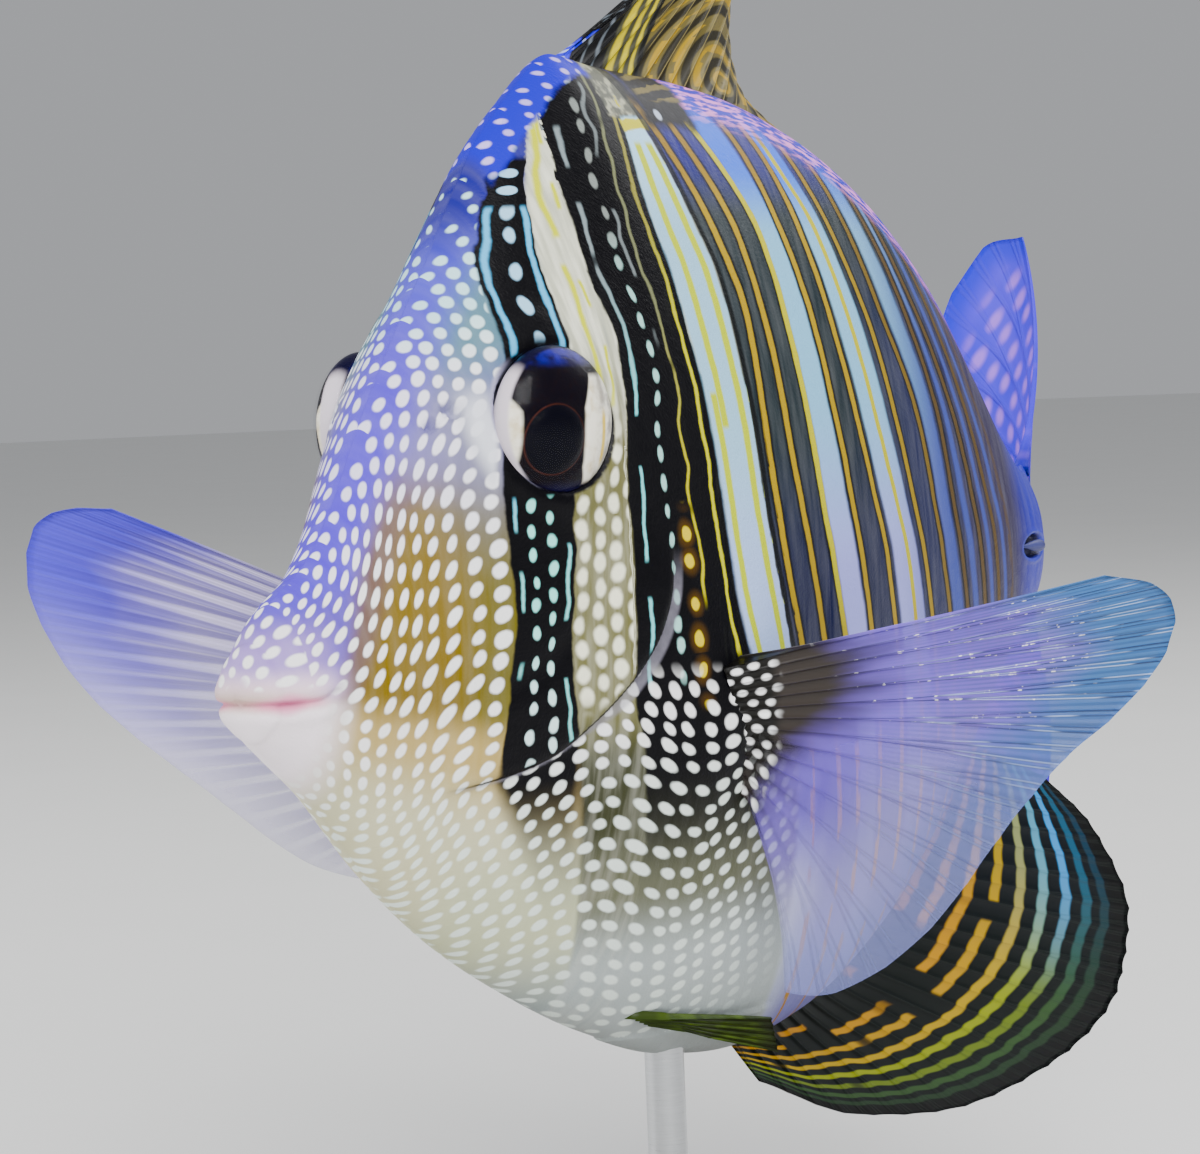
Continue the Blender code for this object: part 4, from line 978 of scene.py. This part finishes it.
def dorsal_material():
    """Olive fin skin with nested dark arcs, yellow streaks and a violet front edge."""
    made, tree = new_material("olive fin skin with nested arcs")
    ray, share, length, lines, middle = fin_fields(tree, 0.45)
    tone = noise(tree, (ray * 0.5, length * 0.14), 1.0, 2.0)
    front = ray * 1.05 - 1.5 + (length - 1.0) * 0.2 + tone * 0.12
    right = (ray - ARC_CENTRE[0]) * 1.05 + (length - ARC_CENTRE[1]) * 0.2
    high = (length - ARC_CENTRE[1]) * 0.49 - (ray - ARC_CENTRE[0]) * 0.28
    arc = distance(right, high) + tone * 0.15
    rings = arc / ARC_PITCH - 0.36
    from_ring = (rings.part() - 0.5).size()
    block = chance(tree, rings.floor(), (high / 0.97).floor())[0]
    gold_bits = over(block, 0.5, 0.56) * over(from_ring, 0.3, 0.38)
    streaks = span(front, 3.1, 3.6, 0.1).most(span(front, 4.0, 4.35, 0.1)).most(span(front, 4.75, 5.0, 0.08))
    colour = paint(
        "#5a5020",
        "#746838", over(tone, -0.4, 0.5),
        "#a48400", gold_bits * under(arc, 7.4, 9.0),
        "#020200", under(from_ring, 0.14, 0.24) * under(arc, 9.0, 12.0) * 0.9,
        "#4430b0", over(share, 0.5, 0.9) * 0.5,
        "#3c3c28", under(front, 5.5, 5.6),
        "#c0b000", streaks,
        "#0a0a08", span(front, 5.2, 5.55, 0.08),
        "#060608", under(front, 2.75, 2.9),
        "#5c646c", span(front, 1.3, 1.45, 0.06).most(span(front, 2.05, 2.22, 0.06)),
        "#2404f0", under(front, 0.4, 0.55),
        "#b8c4ff", spot_column(tree, (front + 0.1) * 1.2, length, 1.6, 0.36, 1.2, 0.4),
        "#b0a060", lines * 0.4 * over(front, 5.6, 6.0))
    alpha = 0.96 - over(share, 0.75, 1.0) * 0.2
    return thick_fin(made, colour, 0.42, alpha, lines * 0.8 + under(middle, 0.0, 0.2) * 0.6, 0.00018)


def caudal_material():
    """Violet-blue fin skin with pinkish spots in rows along its rays."""
    made, tree = new_material("violet fin skin with pink spots")
    ray, share, length, lines, middle = fin_fields(tree, 0.4)
    tone = noise(tree, (ray * 0.5, length * 0.14), 1.0, 2.0)
    dots = spots(tree, ray * 1.9, length, (1.9, 2.6), 0.55, 0.5, 1.2, 0.35, 2.0)
    colour = paint(
        "#4c2cf0",
        "#3018e8", over(tone, -0.3, 0.5),
        "#0c0690", under(share, 0.02, 0.16),
        "#1c0ce0", over(share, 0.86, 0.97),
        "#b070f8", dots * under(share, 0.8, 0.9) * 0.85,
        "#4434d8", lines * 0.35)
    return thick_fin(made, colour, 0.4, 0.94, lines * 0.8 + under(middle, 0.0, 0.2) * 0.6, 0.00016)


def pelvic_material():
    """Olive-green folded fin skin, dark between its rays."""
    made, tree = new_material("olive green fin skin")
    ray, share, length, lines, middle = fin_fields(tree, 0.6)
    tone = noise(tree, (ray, length * 0.3), 1.0, 2.0)
    colour = paint(
        "#28360a",
        "#4c6410", over(tone, -0.2, 0.5),
        "#060802", over(middle, 0.3, 0.45) * 0.7,
        "#1c2013", over(share, 0.8, 1.0) * 0.7)
    values = {"Base Color": colour, "Roughness": 0.42, "Specular IOR Level": 0.15}
    return finish(made, values, (lines + under(middle, 0.0, 0.25), 0.00018, 0.6))


def iris_material():
    """A fish's iris: dark where the bar crosses it, cream before and behind, round a blue-black pupil, with a
    painted blue-violet highlight over its top.
    """
    made, tree = new_material("glossy fish iris")
    across, up, tilt = mesh_field(tree, "eye")
    tone = noise(tree, (across, up, tilt), 0.9, 3.0)
    fine = noise(tree, (across, up, tilt), 3.2, 3.0, 0.6)
    pupil_across = across + PUPIL[0]
    pupil_up = up + PUPIL[1]
    pupil = distance(pupil_across, pupil_up)
    band = under(pupil_across.size() - (pupil_up.size() - 2.2).most(0.0) * 0.5, 2.55, 2.95)
    band = band.most(over(up, 3.0, 3.6)).most(under(up, -4.9, -4.4))
    colour = paint(
        "#e0d0a8",
        "#fffae8", over(tone, -0.5, 0.2),
        "#85868c", over(across, 1.6, 3.4) * under(tone, -0.3, 0.5) * 0.7,
        "#e2c020", span(across, 2.9, 3.4, 0.15) * span(up, -3.2, 0.5, 0.6) * 0.9,
        paint("#050208", "#1a0c0a", over(fine, -0.1, 0.7)), band,
        # painted highlight: blue-violet sheen over the top of the iris
        "#1c0fa0", over(up, 3.8, 5.0) * over(tone, -0.5, 0.4) * 0.9,
        "#0d0836", under(up, -5.2, -4.2) * 0.8,
        paint("#ddd2dc", "#0a0628", over(across, -4.4, -3.2)), over(distance(across, up), 5.3, 5.5),
        "#5c2c18", span(pupil, 2.56, 2.64, 0.06) * 0.5,
        "#000006", under(pupil, 2.48, 2.58))
    values = {"Base Color": colour, "Roughness": fine * 0.05 + 0.3, "Coat Weight": 0.02,
              "Coat Roughness": 0.08, "Specular IOR Level": 0.06}
    return finish(made, values, (fine, 0.00004, 0.4))


def cornea_material():
    """Clear wet cornea, with one small sharp highlight and a faint smear."""
    made, tree = new_material("clear wet cornea")
    place = add_node(tree, "ShaderNodeTexCoord", {}, {}, "Object")
    smear = noise(tree, place, waves(2.5))
    values = {"Base Color": (*linear("#272738"), 1.0), "Roughness": smear * 0.02 + 0.05, "Alpha": 0.06,
              "Specular IOR Level": 0.3, "Coat Weight": 0.2, "Coat Roughness": 0.03}
    return finish(made, values)


def bone_material():
    """Smooth bony blade under thin slate blue skin, satin and a little uneven."""
    made, tree = new_material("skinned blue spine bone")
    place = add_node(tree, "ShaderNodeTexCoord", {}, {}, "Object")
    tone = noise(tree, place, waves(1.11), 3.0)
    colour = paint("#3c4078", "#2a2c5c", over(tone, -0.1, 0.6))
    values = {"Base Color": colour, "Roughness": tone * 0.06 + 0.46, "Specular IOR Level": 0.15}
    return finish(made, values, (tone, 0.00004, 0.5))


def walnut_material():
    """Dark walnut under satin varnish, its grain along the base, with growth rings some 6 mm apart.

    The pores, drawn 0.7 mm wide, are coarser than the wood's own, which are too fine to show.
    """
    made, tree = new_material("satin dark walnut")
    place = add_node(tree, "ShaderNodeTexCoord", {}, {}, "Object")
    long_grain = add_node(tree, "ShaderNodeMapping", {}, {"Vector": place, "Scale": (1.0, 0.09, 1.0)})
    rings = noise(tree, long_grain, waves(5.88), 4.0, 0.6)
    pores = noise(tree, long_grain, waves(0.67), 2.0, 0.6)
    colour = paint("#33200f", "#5a3a20", over(rings, -0.5, 0.6), "#1c1008", over(pores, 0.25, 0.6) * 0.7)
    values = {"Base Color": colour, "Roughness": pores * 0.06 + 0.36, "Coat Weight": 0.3,
              "Coat Roughness": 0.2}
    return finish(made, values, (pores, 0.00005, 0.3))


def steel_material():
    """Brushed stainless steel, with fine marks round the rod that spread its highlights."""
    made, tree = new_material("brushed stainless steel")
    place = add_node(tree, "ShaderNodeTexCoord", {}, {}, "Object")
    rings = add_node(tree, "ShaderNodeMapping", {}, {"Vector": place, "Scale": (1.0, 1.0, 30.0)})
    brushed = noise(tree, rings, waves(2.0))
    colour = paint("#a9abad", "#c6c8ca", brushed * 0.5 + 0.5)
    values = {"Base Color": colour, "Metallic": 1.0, "Roughness": brushed * 0.06 + 0.3}
    return finish(made, values, (brushed, 0.00002, 0.3))


def floor_material():
    """Plain pale matt studio floor with a barely cloudy tone."""
    made, tree = new_material("pale matt studio floor")
    place = add_node(tree, "ShaderNodeTexCoord", {}, {}, "Object")
    tone = noise(tree, place, waves(33.0))
    colour = paint("#e6e6e4", "#eaeae8", tone * 0.5 + 0.5)
    return finish(made, {"Base Color": colour, "Roughness": 0.85})


# Eyes

def make_eye(side, word, look, clear):
    """The eyeball, whose middle stands out as the lens does, and a cornea over it."""
    steps, around = 46, 96
    cos_turn, sin_turn = math.cos(EYE_TURN), -side * math.sin(EYE_TURN)
    angles = FULL_TURN * np.arange(around) / around
    tilt = np.linspace(0, 0.62 * math.pi, steps)[1:, None]
    for kind, grow, nodes, surface in (("eye", -0.32, [f"eye_{word}"], look), ("cornea", 0.0, [], clear)):
        out = (EYE_RADII[1] + grow * 0.5) * np.sin(tilt)
        across, up = out * np.cos(angles), out * np.sin(angles)
        depth = (EYE_RADII[0] + grow) * np.cos(tilt)
        if kind == "eye":
            pupil = np.hypot(across + PUPIL[0], up + PUPIL[1])
            depth = depth - 0.1 * bell(pupil - 2.7, 0.3) + 0.1 * (1 - rise(pupil, 1.6, 2.7))
        x = side * depth * cos_turn - across * sin_turn
        y = side * depth * sin_turn + across * cos_turn
        points = np.stack([x + side * EYE_CENTRE[0], y + EYE_CENTRE[1], up + EYE_CENTRE[2]], -1)
        field = np.stack([across, up, 0 * up + tilt], -1)
        points, field = (np.concatenate([g.reshape(-1, 3), [g[0].mean(0)]]) for g in (points, field))
        faces = tube_faces(len(tilt), around, side > 0, ends=1)
        settle(mesh_object(f"{kind}_{word}_ball", points, faces, surface, {"eye": field}), "eye", *nodes)


# Fins

def fine_shares(count):
    """Shares along a fin's base for every column of its mesh, RAY_FILL of them from one ray to the next."""
    return np.linspace(0, 1, (count - 1) * RAY_FILL + 1)


def make_fin(name, rays, look, slot, spines=0, ridge=0.16, membrane=0.1, root_extra=0.0, scallop=0.008):
    """A thin closed fin with rounded rays standing out of its skin, and a margin drawn in between them."""
    grid = np.array(rays)
    columns = np.arange(len(grid)) / RAY_FILL
    part = columns - np.floor(columns)
    shares = np.linspace(0, 1, grid.shape[1])
    drawn_in = 1 - scallop * np.sin(math.pi * part)[:, None] * shares[None, :] ** 3
    lengths = np.linalg.norm(np.diff(grid, axis=1), axis=-1).sum(1)
    root = grid[:, :1]
    grid = root + (grid - root) * drawn_in[..., None]
    normals = grid_normals(grid, False)
    gap = np.minimum(part, 1 - part)[:, None]
    spread = np.linalg.norm(np.gradient(grid, axis=0), axis=-1) * RAY_FILL
    stiff = np.where(columns < spines - 0.5, 1.7, 1.0)[:, None]
    form = bell(gap * spread, np.minimum(0.32, 0.3 * spread)) * ridge * stiff * (1 - 0.6 * shares[None, :])
    half = (membrane + form) * (1 - 0.45 * shares[None, :] ** 4)
    half = half + root_extra * np.maximum(0, 1 - shares[None, :] / 0.24) ** 2
    count, steps = grid.shape[:2]
    points = np.concatenate([(grid + s * half[..., None] * normals).reshape(-1, 3) for s in (1, -1)])
    size = count * steps
    faces = grid_faces(count, steps, False, flip=True) + grid_faces(count, steps, False, start=size)
    rim = [c * steps for c in range(count)] + [(count - 1) * steps + r for r in range(1, steps)]
    rim += [c * steps + steps - 1 for c in range(count - 2, -1, -1)] + list(range(steps - 2, 0, -1))
    faces += [[a, b, b + size, a + size] for a, b in zip(rim, rim[1:] + rim[:1])]
    field = np.stack([np.repeat(columns[:, None], steps, 1), np.repeat(shares[None, :], count, 0),
                      lengths[:, None] * shares[None, :]], -1).reshape(-1, 3)
    piece = mesh_object(f"{name}_skin", points, faces, look, {"fin": np.concatenate([field, field])})
    settle(piece, slot, name)


def curved_ray(root, length, rise_angle, turn, curl):
    """A ray that leaves its root at an angle over the level and turns sideways more towards its tip."""
    shares = (np.arange(RAY_STEPS) + 0.5) / RAY_STEPS
    up = math.radians(rise_angle)
    side = np.radians(turn * (1 + curl * (shares - 0.5)))
    ahead = np.stack([-math.cos(up) * np.sin(side), math.cos(up) * np.cos(side), 0 * side + math.sin(up)], -1)
    return np.concatenate([[root], root + np.cumsum(ahead * length / RAY_STEPS, 0)])


def dorsal_rays():
    rays = []
    for share in fine_shares(DORSAL_RAYS):
        y = DORSAL_BASE[0] + share * (DORSAL_BASE[1] - DORSAL_BASE[0])
        root = bend([0.0, y, along(BACK, y) + along(NAPE_CREST, y) - ROOT_SUNK])
        length = along(DORSAL_LENGTH, share) + ROOT_SUNK
        angle, turn = along(DORSAL_RISE, share), along(DORSAL_TURN, share)
        rays.append(curved_ray(root, length, angle, turn, DORSAL_CURL))
    return rays


def anal_rays():
    knots = np.linspace(0, 1, len(ANAL_MARGIN))
    rays = []
    for share in fine_shares(ANAL_RAYS):
        y = ANAL_BASE[0] + share * (ANAL_BASE[1] - ANAL_BASE[0])
        root = bend([0.0, y, along(BELLY, y) + ROOT_SUNK])
        tip_y, tip_z, tip_x = (along(list(zip(knots, column)), share) for column in zip(*ANAL_MARGIN))
        tip = np.array([tip_x, tip_y, tip_z])
        rays.append(root + (tip - root) * np.linspace(0, 1, RAY_STEPS + 1)[:, None])
    return rays


def caudal_rays():
    root_top = along(BACK, BODY_LENGTH) - CAUDAL_INSET
    root_bottom = along(BELLY, BODY_LENGTH) + CAUDAL_INSET
    rays = []
    for share in fine_shares(CAUDAL_RAYS):
        edge = abs(2 * share - 1)
        root = bend([0.0, BODY_LENGTH, root_top + share * (root_bottom - root_top)])
        length = float(along(CAUDAL_LENGTH, edge))
        turn = CAUDAL_TURN[1] + (CAUDAL_TURN[0] - CAUDAL_TURN[1]) * edge**CAUDAL_CUP
        rays.append(curved_ray(root, length, CAUDAL_SPREAD * (1 - 2 * share), turn, CAUDAL_CURL))
    return rays


def between(ends, share):
    """The point at a share of the way from the first end to the second."""
    return np.array(ends[0]) * (1 - share) + np.array(ends[1]) * share


def paired_root(side, base, share):
    y, z = between(base, share)
    return np.array([side * (side_width(y, z) - PAIRED_ROOT_SUNK), y, z])


def pectoral_rays(side, back, twist, cup, lengths, rises):
    rays = []
    shares = np.linspace(0, 1, RAY_STEPS + 1)
    for share in fine_shares(PECTORAL_RAYS):
        root = paired_root(side, PECTORAL_BASE, share)
        up = math.radians(along(rises, share))
        sweep = math.radians(back + twist * share)
        out = np.array([side * math.cos(sweep), math.sin(sweep), 0])
        ahead = math.cos(up) * out + np.array([0, 0, math.sin(up)])
        bulge = np.array([side * math.sin(sweep), -math.cos(sweep), 0]) * cup
        length = along(lengths, share)
        rays.append(root + ahead * length * shares[:, None] + bulge * np.sin(math.pi * shares)[:, None])
    return rays


def pelvic_rays(side):
    rays = []
    shares = np.linspace(0, 1, RAY_STEPS + 1)
    for share in fine_shares(PELVIC_RAYS):
        root = paired_root(side, PELVIC_BASE, share)
        tip_y, tip_z, tip_x = between(PELVIC_TIP, share)
        tip = np.array([side * tip_x, tip_y, tip_z])
        ray = root + (tip - root) * shares[:, None]
        clear = side_width(ray[:, 1], ray[:, 2]) + PELVIC_CLEAR * np.minimum(1, shares * 6)
        ray[:, 0] = side * np.maximum(side * ray[:, 0], np.where(shares > 0, clear, 0))
        rays.append(ray)
    return rays


def make_tail_spine(side, word, look):
    """The folded scalpel spine, a curved blade that lies in its groove with its point forward."""
    y0, z0 = SPINE_CENTRE
    steps, around = 30, 20
    angles = FULL_TURN * np.arange(around) / around
    t = np.linspace(-1, 1, steps)[:, None]
    full = np.sqrt(np.maximum(0.0, 1 - t * t))
    thick = full * (0.55 + 0.45 * t) + 0.04
    seat = side_width(np.array(y0), np.array(z0)) - 0.15
    x = seat + SPINE_RADII[0] * 0.8 * thick * np.cos(angles) + 0.2 * full
    z = z0 + SPINE_RADII[2] * thick * np.sin(angles) - 0.15 * t
    grid = bend(np.stack([side * x, y0 + SPINE_RADII[1] * t + 0 * x, z], -1))
    points = np.concatenate([grid.reshape(-1, 3), [grid[0].mean(0), grid[-1].mean(0)]])
    blade = mesh_object(f"scalpel_{word}", points, tube_faces(steps, around, side < 0), look)
    settle(blade, "spine_bone", f"tail_spine_{word}")


# Stand

def stacked(name, rings, look, slot, node, sharp):
    """A closed piece from level rings of points, stacked up. Edges over the sharp angle stay sharp."""
    count = len(rings[0])
    faces = grid_faces(len(rings), count, True)
    faces.append(list(range(count))[::-1])
    faces.append([(len(rings) - 1) * count + k for k in range(count)])
    piece = mesh_object(name, np.concatenate(rings), faces, look)
    piece.data.set_sharp_from_angle(angle=math.radians(sharp))
    settle(piece, slot, node)


def make_base(look):
    """A flat board with round corners and a rounded upper edge."""
    width, length, height = BASE_SIZE
    corner_steps = 14
    outline = []
    for corner, (sx, sy) in enumerate(((1, 1), (-1, 1), (-1, -1), (1, -1))):
        for k in range(corner_steps + 1):
            angle = math.pi / 2 * (corner + k / corner_steps)
            outline.append((sx, sy, math.cos(angle), math.sin(angle)))
    sx, sy, ca, sa = np.array(outline).T
    edge = 1.2
    turns = np.linspace(0, math.pi / 2, 7)
    profile = [(0.3, 0.0), (0.0, 0.3)]
    profile += [(edge * (1 - math.cos(t)), height - edge + edge * math.sin(t)) for t in turns]
    rings = []
    for inset, z in profile:
        radius = BASE_CORNER - inset
        x = sx * (width / 2 - BASE_CORNER) + radius * ca
        y = BASE_MIDDLE + sy * (length / 2 - BASE_CORNER) + radius * sa
        rings.append(np.stack([x, y, 0 * x + z - FISH_LINE], -1))
    stacked("stand_board", rings, look, "stand_wood", "stand_base", 40)


def make_rod(look):
    """The steel rod with a low collar where it enters the board."""
    top = float(along(BELLY, ROD_Y)) + ROD_IN_BELLY
    foot = BASE_SIZE[2] - FISH_LINE
    profile = [(ROD_RADIUS, foot - 3.0), (3.1, foot - 0.2), (3.2, foot + 0.5), (3.0, foot + 0.9),
               (2.2, foot + 1.2), (ROD_RADIUS, foot + 1.5), (ROD_RADIUS, top)]
    angles = FULL_TURN * np.arange(64) / 64
    across, ahead, level = np.cos(angles), np.sin(angles), np.ones(64)
    rings = [np.stack([r * across, ROD_Y + r * ahead, z * level], -1) for r, z in profile]
    stacked("stand_steel_rod", rings, look, "stand_steel", "stand_rod", 35)


# Stage

def make_floor(look):
    sides = 96
    reach = 3000.0
    angles = FULL_TURN * np.arange(sides) / sides
    x, y = reach * np.cos(angles), BASE_MIDDLE + reach * np.sin(angles)
    ring = np.stack([x, y, 0 * angles - FISH_LINE], -1)
    mesh_object("studio_floor", ring, [list(range(sides))], look)


def make_light(name, place, size, power):
    """A square soft white light that faces the fish; place is in the fish's frame, in millimetres."""
    data = bpy.data.lights.new(name, "AREA")
    data.size = size * MM
    data.energy = power
    lamp = bpy.data.objects.new(name, data)
    lamp.location = set_down(place)
    aim = Vector(set_down(VIEW_TARGET)) - lamp.location
    lamp.rotation_euler = aim.to_track_quat("-Z", "Y").to_euler()
    bpy.context.scene.collection.objects.link(lamp)


def make_camera():
    back = Vector((math.sin(VIEW_AZIMUTH) * math.cos(VIEW_ELEVATION),
                   -math.cos(VIEW_AZIMUTH) * math.cos(VIEW_ELEVATION), math.sin(VIEW_ELEVATION)))
    level = Vector((math.cos(VIEW_AZIMUTH), math.sin(VIEW_AZIMUTH), 0.0))
    upright = back.cross(level)
    right = level * math.cos(VIEW_ROLL) + upright * math.sin(VIEW_ROLL)
    up = back.cross(right)
    place = Vector(VIEW_TARGET) + right * VIEW_OFFSET[0] + up * VIEW_OFFSET[1] + back * VIEW_DISTANCE
    data = bpy.data.cameras.new("photo_camera")
    data.lens = LENS
    data.sensor_width = SENSOR
    data.sensor_fit = "HORIZONTAL"
    data.clip_start = 0.01
    camera = bpy.data.objects.new("photo_camera", data)
    turn = Matrix((right, up, back)).transposed().to_4x4()
    camera.matrix_world = Matrix.Translation(Vector(set_down(place))) @ turn
    bpy.context.scene.collection.objects.link(camera)
    bpy.context.scene.camera = camera


def make_world():
    world = bpy.data.worlds.new("studio_air")
    world.use_nodes = True
    air = world.node_tree.nodes["Background"]
    air.inputs["Color"].default_value = (0.86, 0.88, 0.92, 1.0)
    air.inputs["Strength"].default_value = 0.46
    bpy.context.scene.world = world


def main():
    make_skin(skin_material())
    iris, cornea = iris_material(), cornea_material()
    bone, pelvic = bone_material(), pelvic_material()
    for side, word in ((1, "left"), (-1, "right")):
        make_eye(side, word, iris, cornea)
        make_tail_spine(side, word, bone)
        make_fin(f"pelvic_fin_{word}", pelvic_rays(side), pelvic, "olive_membrane", spines=1)
    near_tones, far_tones = ("#2e2824", "#8468e8", "#3c74b4"), ("#ece4ff", "#d8ccff", "#4a3ce0")
    near_fin = pectoral_material("lilac fin skin with dark rays", near_tones, 0.56, 1.0)
    far_fin = pectoral_material("thin violet fin skin", far_tones, 0.45, 0.75)
    left = pectoral_rays(1, **PECTORAL_LEFT)
    right = pectoral_rays(-1, **PECTORAL_RIGHT)
    for word, rays, look in (("left", left, near_fin), ("right", right, far_fin)):
        make_fin(f"pectoral_fin_{word}", rays, look, "clear_membrane", ridge=0.13, root_extra=0.9,
                 scallop=0.002)
    make_fin("dorsal_fin", dorsal_rays(), dorsal_material(), "striped_membrane", DORSAL_SPINES,
             root_extra=0.5)
    make_fin("anal_fin", anal_rays(), anal_material(), "striped_membrane", ANAL_SPINES, root_extra=0.5)
    make_fin("caudal_fin", caudal_rays(), caudal_material(), "violet_membrane", root_extra=0.5)
    make_base(walnut_material())
    make_rod(steel_material())
    make_floor(floor_material())
    make_light("key_light", (520.0, -420.0, 520.0), 520.0, 12.5)
    make_light("fill_light", (-620.0, -260.0, 260.0), 620.0, 4.6)
    make_light("rim_light", (120.0, 620.0, 480.0), 460.0, 3.0)
    make_world()
    make_camera()


main()
